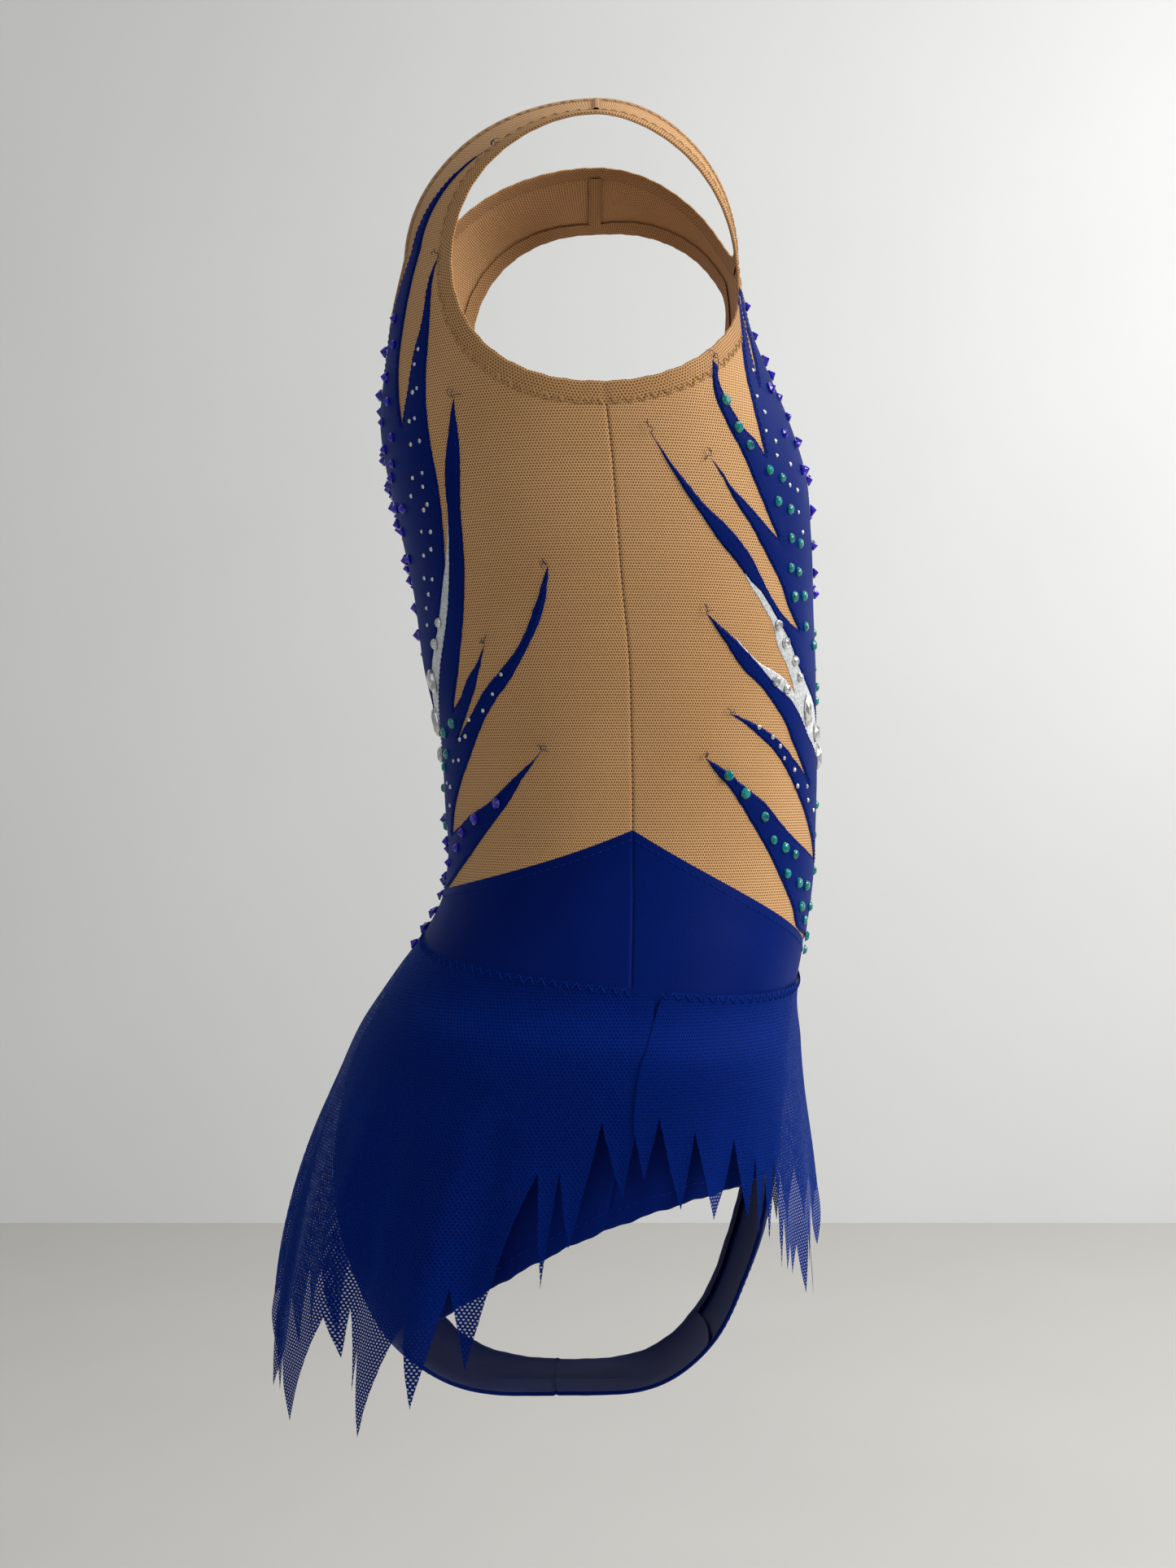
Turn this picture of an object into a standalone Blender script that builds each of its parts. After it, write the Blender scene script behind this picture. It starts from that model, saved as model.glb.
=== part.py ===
"""A child's rhythmic-gymnastics leotard with a jagged skirt, as the pieces that it is sewn from.

Every cloth piece lies on a body form. A place on the form is stated as a garment maker states it: the
half that it is on (FRONT or BACK), how far across that half it is, from 0 at the centre line to 1 at
the side seam, and its level. The level is the height as far up as the chest, and from there it runs on
over the shoulder to the crest of the strap. Below the hips it runs on under the crotch.

+X is the wearer's left, the front faces -Y, and z = 0 is the top of the shoulder straps.
"""

import functools
import math

import bmesh
import bpy
import numpy
from mathutils import Matrix, Vector
from mathutils.geometry import delaunay_2d_cdt

MM = 0.001
FRONT, BACK = -1, 1
CENTRE, SIDE = 0.0, 1.0

# The form, in millimetres: level, height, front, side seam and back along Y, half width along X.
TORSO_STATIONS = (
    (-620, -545, -8, 18, 38, 0),
    (-600, -543, -22, 17, 52, 32),
    (-572, -535, -38, 16, 72, 64),
    (-540, -518, -54, 13, 92, 92),
    (-502, -490, -67, 6, 106, 113),
    (-465, -462, -75.5, -2, 113, 121),
    (-430, -430, -80, -8, 112.5, 121),
    (-400, -400, -82, -12, 105.5, 117.5),
    (-370, -370, -86, -13.5, 90, 111),
    (-350, -350, -90, -14, 77, 106),
    (-330, -330, -93, -14.5, 66.5, 100.5),
    (-315, -315, -94.5, -14.5, 64, 97.5),
    (-290, -290, -95.5, -14.5, 65, 96.5),
    (-260, -260, -95.5, -14, 67.5, 99),
    (-230, -230, -95, -13, 74.5, 103.5),
    (-200, -200, -94, -10, 78.5, 108.5),
    (-175, -175, -93, -8, 83.5, 112),
    (-150, -150, -91, -6, 89.5, 114),
    (-125, -125, -83, -3, 93, 115.5),
    (-100, -100, -72, 0, 91, 115),
    (-80, -80, -65, 1, 88.5, 114),
    (-60, -60, -62, 1, 84, 113),
)
SKIRT_STATIONS = (
    (-570, -570, -97, -2, 140, 133.5),
    (-520, -520, -96.5, -4, 138.5, 132.5),
    (-480, -480, -95, -7, 133.5, 131),
    (-440, -440, -92.5, -10, 124, 130.5),
    (-410, -410, -89.5, -12, 113, 129.5),
    (-385, -385, -88, -13, 102.5, 125.5),
    (-365, -365, -89.5, -13.5, 89.5, 112.5),
    (-340, -340, -93.7, -14, 74.5, 105.8),
)
SECTION_POWER = 2.4
CHEST_LEVEL = -60 * MM
CREST_LEVEL = 45 * MM
SHOULDER_SLOPE = 0.4
CREST_X = 70 * MM
SLOPE_LEVEL = -100 * MM

# How finely the form is faceted, and how far from its closed end a normal is still measured.
COLUMNS = 8
ROWS = 33
QUARTER_GIRTH = 165 * MM
MERGE = 0.25 * MM
POLE_STEP = 2 * MM

# Cloth layers, measured outwards from the form.
CLOTH = 0.8 * MM
TRIM_CLOTH = 0.6 * MM
TRIM_LIFT = 0.4 * MM
LINING_LIFT = -1.3 * MM
GUSSET_LIFT = -1.6 * MM
STONE_LIFT = 1.9 * MM
GAP = 0.6 * MM
EDGE_GAP = 1.0 * MM

# Openings.
NECK_HALF_WIDTH = 55 * MM
NECK_DEPTH = {FRONT: 97 * MM, BACK: 137 * MM}
NECK_POWER = 2.2
ARM_Y, ARM_Z = -1 * MM, -68 * MM
ARM_HALF_WIDTH, ARM_HALF_HEIGHT = 59.5 * MM, 54.5 * MM
LEG_X, LEG_Y = 85 * MM, 5 * MM
LEG_HALF_WIDTH, LEG_HALF_LENGTH = 55 * MM, 83 * MM
LEG_LINE_Z = -457 * MM
LEG_CORNER = 8 * MM
BINDING_WIDTH = 9 * MM
LEG_HEM_WIDTH = 7 * MM
SEAM_HALF_WIDTH = 3 * MM
GUSSET_LEVEL = -548 * MM

# The skirt: the level where the cloth leaves the hips, how far round the sewn and the swinging parts
# reach, and the hinge lines.
SKIRT_SPLIT = -378 * MM
SPLIT_GAP = 1 * MM
SKIRT_SIDE = {FRONT: 0.985, BACK: 0.985}
SWING_SIDE = {FRONT: 0.985, BACK: 0.88}
SKIRT_HINGE = {FRONT: (-88 * MM, -378.5 * MM), BACK: (98 * MM, -378.5 * MM)}

# Outlines of the trimmings on one half, as (percent across, level in millimetres).
FRONT_FLAME_UPPER = (
    (0, -112), (24, -74), (43, -100), (50, -125), (51, -147), (58, -137), (62, -112), (63, -138),
    (48, -181), (60, -168), (71, -151), (59, -177), (47, -200), (38, -217), (50, -208), (59, -190),
    (73, -171), (88, -141), (79, -166), (70, -184), (58, -202), (50, -214), (40, -231), (32, -240),
    (0, -260),
)
FRONT_SILVER = (
    (0, -261), (32, -241), (40, -232), (50, -215), (56, -206), (52, -217), (46, -232), (41, -243),
    (52, -235), (66, -222), (56, -236), (44, -246), (31, -261), (13, -271), (0, -278),
)
FRONT_FLAME_LOWER = (
    (0, -279), (13, -272), (31, -262), (44, -247), (56, -237), (75, -213), (69, -226), (58, -241),
    (47, -256), (32, -279), (43, -270), (68, -253), (58, -262), (46, -276), (34, -293), (16, -313),
    (39, -305), (56, -289), (76, -271), (64, -292), (54, -310), (40, -332), (34, -340), (18, -346),
    (0, -350),
)
BACK_FLAME_UPPER = (
    (0, -104), (15, -104), (27, -75), (34, -57), (52, -14), (39, -61), (36, -90), (38, -132),
    (44, -105), (50, -66), (50, -109), (49, -162), (43, -200), (35, -219), (20, -242), (0, -260),
)
BACK_SILVER = (
    (0, -261), (20, -243), (35.5, -220), (44, -200), (51, -168), (46, -200), (41, -220),
    (33, -236), (22, -252), (0, -283),
)
BACK_FLAME_LOWER = (
    (0, -284), (22, -253), (33, -237), (41.7, -220), (46.7, -200), (52, -168), (54, -150), (59, -127),
    (59, -148), (53, -197), (44, -236), (37, -249), (48, -238), (57, -225), (49, -245), (37, -261),
    (55, -242), (69, -224), (79, -195), (76, -214), (64, -239), (50, -258), (35, -282), (23, -301),
    (41, -294), (61, -279), (71, -268), (59, -289), (41, -310), (22, -324), (0, -325.5),
)
# The skirt's hem, from the centre line to the free side edge.
SKIRT_HEM = {
    FRONT: (
        (0, -474), (6, -456), (14, -479), (24, -452), (35, -473), (43, -466), (48, -476), (52, -429),
        (57, -456), (60, -427), (66, -444), (68, -418), (73, -450), (79, -416), (83, -445), (90, -410),
        (94, -433), (98.5, -408),
    ),
    BACK: (
        (0, -538), (8, -500), (16, -538), (20, -502), (33, -541), (45, -496), (54, -540), (64, -493),
        (67, -524), (71, -478), (75, -508), (84, -440), (86.5, -468), (88, -431),
    ),
}

# Crystals on the silver cloth: half, percent across, level, width and length, all in millimetres.
CRYSTALS = (
    (FRONT, 50, -216, 4.2, 4.2),
    (FRONT, 47, -223, 4.6, 4.6),
    (FRONT, 42, -230, 4.2, 4.2),
    (FRONT, 39, -236.5, 4.0, 4.0),
    (FRONT, 52, -239, 4.4, 4.4),
    (FRONT, 47, -242, 4.0, 4.0),
    (FRONT, 33, -250, 9.0, 13.5),
    (FRONT, 22, -259, 8.0, 8.0),
    (FRONT, 10, -269, 8.0, 12.0),
    (BACK, 39, -214, 4.0, 4.0),
    (BACK, 35, -222.5, 4.6, 4.6),
    (BACK, 27, -237, 8.0, 10.5),
    (BACK, 15, -254, 8.5, 13.5),
    (BACK, 6, -268, 8.0, 8.0),
)
CRYSTAL_SIDES = 6
CRYSTAL_TABLE = 0.55
CRYSTAL_HEIGHT = 0.4
CRYSTAL_MAX_HEIGHT = 3.2 * MM

SHOULDER_TAPE = Vector((40, 6, 0.8)) * MM
SHOULDER_TAPE_DROP = 2.2 * MM
SHOULDER_TAPE_X = 79 * MM

COLLECTION = "rhythmic_leotard"


class Form:
    """A body surface through stations, each a rounded section with its own front, side, back and width."""

    def __init__(self, stations, over_shoulder):
        rows = numpy.array(sorted(stations), dtype=float) * MM
        self.levels = rows[:, 0]
        self.values = rows[:, 1:]
        self.slopes = numpy.gradient(self.values, self.levels, axis=0)
        self.over_shoulder = over_shoulder

    def station(self, level):
        level = min(max(level, self.levels[0]), self.levels[-1])
        i = int(min(max(numpy.searchsorted(self.levels, level) - 1, 0), len(self.levels) - 2))
        step = self.levels[i + 1] - self.levels[i]
        t = (level - self.levels[i]) / step
        start = (2 * t**3 - 3 * t**2 + 1) * self.values[i] + (t**3 - 2 * t**2 + t) * step * self.slopes[i]
        end = (3 * t**2 - 2 * t**3) * self.values[i + 1] + (t**3 - t**2) * step * self.slopes[i + 1]
        return start + end

    def point(self, half, across, level):
        z, front, side, back, width = self.station(level)
        if self.over_shoulder and level > CHEST_LEVEL:
            turn = (level - CHEST_LEVEL) / (CREST_LEVEL - CHEST_LEVEL) * math.pi / 2
            z = CHEST_LEVEL * (1 - math.sin(turn))
            front, side, back = (y * math.cos(turn) for y in (front, side, back))
        angle = across * math.pi / 2
        reach = abs(math.cos(angle)) ** SECTION_POWER + abs(math.sin(angle)) ** SECTION_POWER
        reach = reach ** (-1 / SECTION_POWER)
        x = width * math.sin(angle) * reach
        depth = back - side if half == BACK else front - side
        if self.over_shoulder:
            rise = min(max((level - SLOPE_LEVEL) / (CREST_LEVEL - SLOPE_LEVEL), 0), 1)
            z -= SHOULDER_SLOPE * (abs(x) - CREST_X) * rise**2 * (3 - 2 * rise)
        return Vector((x, side + depth * math.cos(angle) * reach, z))

    def tangents(self, half, across, level):
        da, dl = 1e-4, 2e-5
        along_a = self.point(half, across + da, level) - self.point(half, across - da, level)
        along_l = self.point(half, across, level + dl) - self.point(half, across, level - dl)
        return along_a / (2 * da), along_l / (2 * dl)

    def normal(self, half, across, level):
        point = self.point(half, across, level)
        along_a, along_l = self.tangents(half, across, max(level, self.levels[0] + POLE_STEP))
        normal = along_a.cross(along_l).normalized()
        middle = Vector((0, self.station(level)[2], min(max(point.z, -0.46), -0.1)))
        if normal.dot(point - middle) < 0:
            normal.negate()
        if point.x < 1e-6:
            normal.x = 0
            normal.normalize()
        return normal

    def level_of(self, row):
        bottom, top = self.levels[0], CREST_LEVEL if self.over_shoulder else self.levels[-1]
        return bottom + (top - bottom) * row / self.rows()

    def rows(self):
        return ROWS if self.over_shoulder else ROWS // 3

    @functools.lru_cache(maxsize=None)
    def knot(self, half, column, row, lift):
        place = (half, column / COLUMNS, self.level_of(row))
        return self.point(*place) + self.normal(*place) * lift

    def on_facet(self, half, across, level, lift):
        """The place on the faceted form, so that layers with different lifts stay parallel."""
        bottom, top = self.level_of(0), self.level_of(self.rows())
        u = across * COLUMNS
        v = (level - bottom) / (top - bottom) * self.rows()
        i = min(int(u), COLUMNS - 1)
        j = min(int(v), self.rows() - 1)
        u -= i
        v -= j
        low, high = self.knot(half, i, j, lift), self.knot(half, i + 1, j + 1, lift)
        if u >= v:
            return low * (1 - u) + self.knot(half, i + 1, j, lift) * (u - v) + high * v
        return low * (1 - v) + self.knot(half, i, j + 1, lift) * (v - u) + high * u


TORSO = Form(TORSO_STATIONS, over_shoulder=True)
SKIRT = Form(SKIRT_STATIONS, over_shoulder=False)


# Lines on the form. Each is a value that is zero on the line and positive on the cloth.


def oval(u, v, power):
    return (abs(u) ** power + abs(v) ** power) ** (1 / power) - 1


def neck_value(half, across, level):
    x = TORSO.point(half, across, level).x
    return oval(x / NECK_HALF_WIDTH, (CREST_LEVEL - level) / NECK_DEPTH[half], NECK_POWER)


def arm_value(half, across, level):
    point = TORSO.point(half, across, level)
    power = 2.0 if point.z > ARM_Z else 2.2
    return oval((point.y - ARM_Y) / ARM_HALF_WIDTH, (point.z - ARM_Z) / ARM_HALF_HEIGHT, power)


def leg_value(half, across, level):
    """The leg opening is a tube in plan, closed on its outer side by a line that drops to the back."""
    x, y, z = TORSO.point(half, across, level)
    tube = oval((x - LEG_X) / LEG_HALF_WIDTH, (y - LEG_Y) / LEG_HALF_LENGTH, 2) * LEG_HALF_WIDTH
    line = z - (LEG_LINE_Z - 0.43 * y - 3.0 * y * y)
    blend = max(LEG_CORNER - abs(tube - line), 0) / LEG_CORNER
    return max(tube, line) + blend * blend * LEG_CORNER / 4


def reach(value, half, across, level):
    """The distance from the value's line, along the cloth."""
    da, dl = 1e-4, 2e-5
    along_a, along_l = TORSO.tangents(half, across, level)
    value_a = (value(half, across + da, level) - value(half, across - da, level)) / (2 * da)
    value_l = (value(half, across, level + dl) - value(half, across, level - dl)) / (2 * dl)
    aa, al, ll = along_a.dot(along_a), along_a.dot(along_l), along_l.dot(along_l)
    slope = (value_a**2 * ll - 2 * value_a * value_l * al + value_l**2 * aa) / max(aa * ll - al**2, 1e-12)
    return value(half, across, level) / math.sqrt(max(slope, 1e-9))


def brief_top(half, across):
    if half == BACK:
        return (-327 + 27.5 * across**1.9) * MM
    return (-352 + 52.5 * across**1.5) * MM


def skirt_seam(half, across):
    if half == BACK:
        return (-344 - 20.5 * across**0.8) * MM
    return (-364.4 - 4 * math.sin(math.pi * across)) * MM


def above(limit):
    return lambda half, across, level: level - limit(half, across)


def below(limit):
    return lambda half, across, level: limit(half, across) - level


def beyond(value, distance):
    return lambda half, across, level: reach(value, half, across, level) - distance


def within(value, distance):
    return lambda half, across, level: distance - reach(value, half, across, level)


def short_of_side(half, across, level):
    return (SIDE - across) * QUARTER_GIRTH - GAP / 2


def near_side(half, across, level):
    return SEAM_HALF_WIDTH - (SIDE - across) * QUARTER_GIRTH


def below_crest(half, across, level):
    return CREST_LEVEL - GAP / 2 - level


# Cloth.


def material(name, color, roughness, metallic=0.0):
    made = bpy.data.materials.new(name)
    made.use_nodes = True
    shader = made.node_tree.nodes["Principled BSDF"]
    shader.inputs["Base Color"].default_value = (*color, 1.0)
    shader.inputs["Roughness"].default_value = roughness
    shader.inputs["Metallic"].default_value = metallic
    made.diffuse_color = (*color, 1.0)
    return made


def faceted_half(form, half, lift):
    """One half of the form from its centre line to its side seam, in flat triangles."""
    bm = bmesh.new()
    across = bm.verts.layers.float.new("across")
    level = bm.verts.layers.float.new("level")
    bmesh.ops.create_grid(bm, x_segments=COLUMNS, y_segments=form.rows(), size=1)
    for face in list(bm.faces):
        corners = sorted(face.verts, key=lambda v: v.co.x / COLUMNS + v.co.y / COLUMNS)
        bmesh.utils.face_split(face, corners[0], corners[-1])
    for vert in bm.verts:
        column = round((vert.co.x + 1) / 2 * COLUMNS)
        row = round((vert.co.y + 1) / 2 * form.rows())
        vert[across] = column / COLUMNS
        vert[level] = form.level_of(row)
        vert.co = form.knot(half, column, row, lift)
    return bm


def trim(bm, half, keep):
    """Cut the cloth along keep's zero line and drop the side where keep is negative."""
    across = bm.verts.layers.float["across"]
    level = bm.verts.layers.float["level"]
    values = {vert: keep(half, vert[across], vert[level]) for vert in bm.verts}
    cut = []
    for edge in list(bm.edges):
        low, high = edge.verts
        if values[low] * values[high] >= 0:
            continue
        if values[low] > values[high]:
            low, high = high, low
        start, end = 0.0, 1.0
        for _ in range(20):
            middle = (start + end) / 2
            place = [low[layer] * (1 - middle) + high[layer] * middle for layer in (across, level)]
            if keep(half, *place) < 0:
                start = middle
            else:
                end = middle
        place = [low[layer] * (1 - end) + high[layer] * end for layer in (across, level)]
        _, vert = bmesh.utils.edge_split(edge, low, end)
        vert[across], vert[level] = place
        values[vert] = 0.0
        cut.append(vert)
    for face in list(bm.faces):
        ends = [vert for vert in face.verts if values[vert] == 0.0]
        signs = {values[vert] > 0 for vert in face.verts if values[vert] != 0.0}
        if len(ends) == 2 and len(signs) == 2:
            bmesh.utils.face_split(face, ends[0], ends[1])
    outside = [vert for vert in bm.verts if values[vert] < 0]
    bmesh.ops.delete(bm, geom=outside, context="VERTS")
    bmesh.ops.triangulate(bm, faces=bm.faces)


def joined(parts):
    """The given meshes in one, welded where they meet."""
    bm = bmesh.new()
    for part in parts:
        mesh = bpy.data.meshes.new("part")
        part.to_mesh(mesh)
        part.free()
        bm.from_mesh(mesh)
        bpy.data.meshes.remove(mesh)
    bmesh.ops.remove_doubles(bm, verts=bm.verts, dist=0.02 * MM)
    return bm


def face_outwards(bm):
    """Turn the whole cloth so that its faces point away from the body."""
    bmesh.ops.recalc_face_normals(bm, faces=bm.faces)
    facing = 0.0
    for face in bm.faces:
        middle = face.calc_center_median()
        inside = Vector((0, 0, min(max(middle.z, -0.46), -0.1)))
        facing += face.normal.dot(middle - inside) * face.calc_area()
    if facing < 0:
        bmesh.ops.reverse_faces(bm, faces=bm.faces)


def cloth_object(name, bm, finish, thickness, outwards, mirrored, origin=None):
    origin = origin or Vector()
    bmesh.ops.remove_doubles(bm, verts=bm.verts, dist=MERGE)
    bmesh.ops.dissolve_degenerate(bm, edges=bm.edges, dist=0.2 * MM)
    bmesh.ops.triangulate(bm, faces=bm.faces)
    face_outwards(bm)
    bmesh.ops.translate(bm, verts=bm.verts, vec=-origin)
    mesh = bpy.data.meshes.new(name)
    bm.to_mesh(mesh)
    bm.free()
    mesh.materials.append(finish)
    made = bpy.data.objects.new(name, mesh)
    made.location = origin
    bpy.data.collections[COLLECTION].objects.link(made)
    if mirrored:
        mirror = made.modifiers.new("other_half", "MIRROR")
        mirror.merge_threshold = 0.0001
        mirror.use_clip = True
    thick = made.modifiers.new("thickness", "SOLIDIFY")
    thick.thickness = thickness
    thick.offset = 1.0 if outwards else -1.0
    thick.use_even_offset = False
    return made


def panel(name, finish, halves, keeps, lift=0.0, mirrored=True, wearer_right=False):
    """A piece of the form between the lines in keeps. It is mirrored, or lies on one side only."""
    parts = []
    for half in halves:
        bm = faceted_half(TORSO, half, lift)
        for keep in keeps:
            trim(bm, half, keep)
        parts.append(bm)
    bm = joined(parts)
    if wearer_right:
        bmesh.ops.scale(bm, vec=(-1, 1, 1), verts=bm.verts)
    return cloth_object(name, bm, finish, CLOTH, False, mirrored)


def inside(outline, x, y):
    """Whether a point lies in a closed outline."""
    odd = False
    for (x1, y1), (x2, y2) in zip(outline, outline[1:] + outline[:1]):
        if (y1 > y) != (y2 > y) and x < x1 + (y - y1) / (y2 - y1) * (x2 - x1):
            odd = not odd
    return odd


def lattice_lines(form, low, high):
    """The form's facet edges that cross a span of levels, as lines in the flat pattern."""
    lines = []
    step = form.level_of(1) - form.level_of(0)
    first = int((low - form.level_of(0)) / step)
    last = int((high - form.level_of(0)) / step) + 1
    width = QUARTER_GIRTH / COLUMNS
    for row in range(first, last + 1):
        lines.append(((0, form.level_of(row)), (QUARTER_GIRTH, form.level_of(row))))
    for column in range(1, COLUMNS):
        lines.append(((column * width, form.level_of(first)), (column * width, form.level_of(last))))
    for row in range(first, last):
        for column in range(COLUMNS):
            start = (column * width, form.level_of(row))
            lines.append((start, (start[0] + width, form.level_of(row + 1))))
    return lines


def cut_out(form, half, outline, lift):
    """A flat outline cut from the pattern and laid on the form's facets."""
    outline = [(a / 100 * QUARTER_GIRTH, level * MM) for a, level in outline]
    lines = lattice_lines(form, min(p[1] for p in outline), max(p[1] for p in outline))
    points = [Vector(p) for p in outline]
    edges = [(i, (i + 1) % len(points)) for i in range(len(points))]
    for start, end in lines:
        edges.append((len(points), len(points) + 1))
        points += [Vector(start), Vector(end)]
    places, _, faces, _, _, _ = delaunay_2d_cdt(points, edges, [], 0, 1e-7)
    bm = bmesh.new()
    verts = {}
    for face in faces:
        middle = sum((places[i] for i in face), Vector((0, 0))) / len(face)
        if not inside(outline, middle.x, middle.y):
            continue
        for i in face:
            if i not in verts:
                across = min(max(places[i].x / QUARTER_GIRTH, CENTRE), SIDE)
                verts[i] = bm.verts.new(form.on_facet(half, across, places[i].y, lift))
        bm.faces.new([verts[i] for i in face])
    return bm


def applique(name, finish, half, outline):
    bm = cut_out(TORSO, half, outline, TRIM_LIFT)
    return cloth_object(name, bm, finish, TRIM_CLOTH, True, True)


def skirt_upper(name, finish, half):
    """The strip of the skirt that is sewn down and hugs the hips."""
    steps = [SKIRT_SIDE[half] * i / COLUMNS for i in range(COLUMNS + 1)]
    seam = [(100 * a, skirt_seam(half, a) / MM - 0.5) for a in steps]
    split = (SKIRT_SPLIT + SPLIT_GAP / 2) / MM
    outline = seam + [(100 * SKIRT_SIDE[half], split), (0, split)]
    bm = cut_out(SKIRT, half, outline, 0.0)
    return cloth_object(name, bm, finish, TRIM_CLOTH, True, True)


def skirt_lower(name, finish, half):
    """The hanging part of the skirt with its jagged hem. Its origin is on its hinge."""
    split = (SKIRT_SPLIT - SPLIT_GAP / 2) / MM
    outline = [(0, split), (100 * SWING_SIDE[half], split), *reversed(SKIRT_HEM[half])]
    bm = cut_out(SKIRT, half, outline, 0.0)
    hinge = Vector((0, *SKIRT_HINGE[half]))
    return cloth_object(name, bm, finish, TRIM_CLOTH, True, True, origin=hinge)


def crystal(name, finish, place, width, length, wearer_right):
    """A flat-backed cut stone, with its table outwards."""
    normal = TORSO.normal(*place)
    up = TORSO.tangents(*place)[1].normalized()
    right = up.cross(normal).normalized()
    up = normal.cross(right)
    height = min(CRYSTAL_HEIGHT * length, CRYSTAL_MAX_HEIGHT)
    bm = bmesh.new()
    bmesh.ops.create_cone(
        bm, cap_ends=True, segments=CRYSTAL_SIDES, radius1=0.5, radius2=0.5 * CRYSTAL_TABLE, depth=1
    )
    bmesh.ops.translate(bm, verts=bm.verts, vec=(0, 0, 0.5))
    bmesh.ops.scale(bm, verts=bm.verts, vec=(width, length, height))
    frame = Matrix((right, up, normal)).transposed().to_4x4()
    frame.translation = TORSO.on_facet(*place, STONE_LIFT)
    bmesh.ops.transform(bm, matrix=frame, verts=bm.verts)
    if wearer_right:
        bmesh.ops.scale(bm, vec=(-1, 1, 1), verts=bm.verts)
    bmesh.ops.recalc_face_normals(bm, faces=bm.faces)
    mesh = bpy.data.meshes.new(name)
    bm.to_mesh(mesh)
    bm.free()
    mesh.materials.append(finish)
    bpy.data.collections[COLLECTION].objects.link(bpy.data.objects.new(name, mesh))


def crystals(finish):
    counts = {FRONT: 0, BACK: 0}
    for half, across, level, width, length in CRYSTALS:
        counts[half] += 1
        for side in ("left", "right"):
            name = f"crystal_{'front' if half == FRONT else 'back'}_{side}_{counts[half]}"
            place = (half, across / 100, level * MM)
            crystal(name, finish, place, width * MM, length * MM, side == "right")


def shoulder_seam(name, finish, sign):
    """The flat tape under the shoulder seam, which carries the weight on a shoulder or a hanger."""
    bpy.ops.mesh.primitive_cube_add(size=1)
    tape = bpy.context.object
    tape.name = name
    tape.data.name = name
    tape.data.transform(Matrix.Diagonal((*SHOULDER_TAPE, 1)))
    tape.data.materials.append(finish)
    tape.rotation_euler = (0, sign * math.atan(SHOULDER_SLOPE), 0)
    drop = SHOULDER_SLOPE * (SHOULDER_TAPE_X - CREST_X) + SHOULDER_TAPE_DROP
    tape.location = (sign * SHOULDER_TAPE_X, 0, -drop)
    for collection in list(tape.users_collection):
        collection.objects.unlink(tape)
    bpy.data.collections[COLLECTION].objects.link(tape)


def bodice(mesh_cloth):
    for name, half in (("bodice_front", FRONT), ("bodice_back", BACK)):
        keeps = (
            above(lambda h, a: brief_top(h, a) + GAP / 2),
            beyond(neck_value, BINDING_WIDTH + EDGE_GAP),
            beyond(arm_value, BINDING_WIDTH + EDGE_GAP),
            short_of_side,
            below_crest,
        )
        panel(name, mesh_cloth, (half,), keeps)


def briefs(lycra):
    for name, half in (("brief_front", FRONT), ("brief_back", BACK)):
        keeps = (
            below(lambda h, a: brief_top(h, a) - GAP / 2),
            beyond(leg_value, LEG_HEM_WIDTH + EDGE_GAP),
            short_of_side,
        )
        panel(name, lycra, (half,), keeps)
    lining = (beyond(leg_value, LEG_HEM_WIDTH + 2 * MM), below(lambda h, a: GUSSET_LEVEL))
    panel("gusset_lining", lycra, (FRONT, BACK), lining, lift=GUSSET_LIFT)


def bindings(mesh_cloth, lycra):
    chest_up = above(lambda h, a: -0.2)
    neck = (chest_up, beyond(neck_value, 0), within(neck_value, BINDING_WIDTH))
    panel("neck_binding", mesh_cloth, (FRONT, BACK), neck)
    arm = (chest_up, beyond(arm_value, 0), within(arm_value, BINDING_WIDTH))
    leg = (
        below(lambda h, a: -0.4),
        beyond(leg_value, 0),
        within(leg_value, LEG_HEM_WIDTH),
    )
    for side in ("left", "right"):
        right = side == "right"
        panel(f"armhole_binding_{side}", mesh_cloth, (FRONT, BACK), arm, mirrored=False, wearer_right=right)
        panel(f"leg_hem_{side}", lycra, (FRONT, BACK), leg, mirrored=False, wearer_right=right)


def side_seams(mesh_cloth, lycra):
    bodice_keeps = (
        near_side,
        above(lambda h, a: brief_top(h, a) + GAP),
        beyond(arm_value, BINDING_WIDTH + EDGE_GAP),
        below(lambda h, a: -0.1),
    )
    brief_keeps = (
        near_side,
        below(lambda h, a: brief_top(h, a) - GAP),
        beyond(leg_value, LEG_HEM_WIDTH + EDGE_GAP),
        above(lambda h, a: -0.47),
    )
    seams = (("side_seam", mesh_cloth, bodice_keeps), ("brief_seam", lycra, brief_keeps))
    for side in ("left", "right"):
        for name, finish, keeps in seams:
            panel(
                f"{name}_{side}",
                finish,
                (FRONT, BACK),
                keeps,
                lift=LINING_LIFT,
                mirrored=False,
                wearer_right=side == "right",
            )


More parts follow.
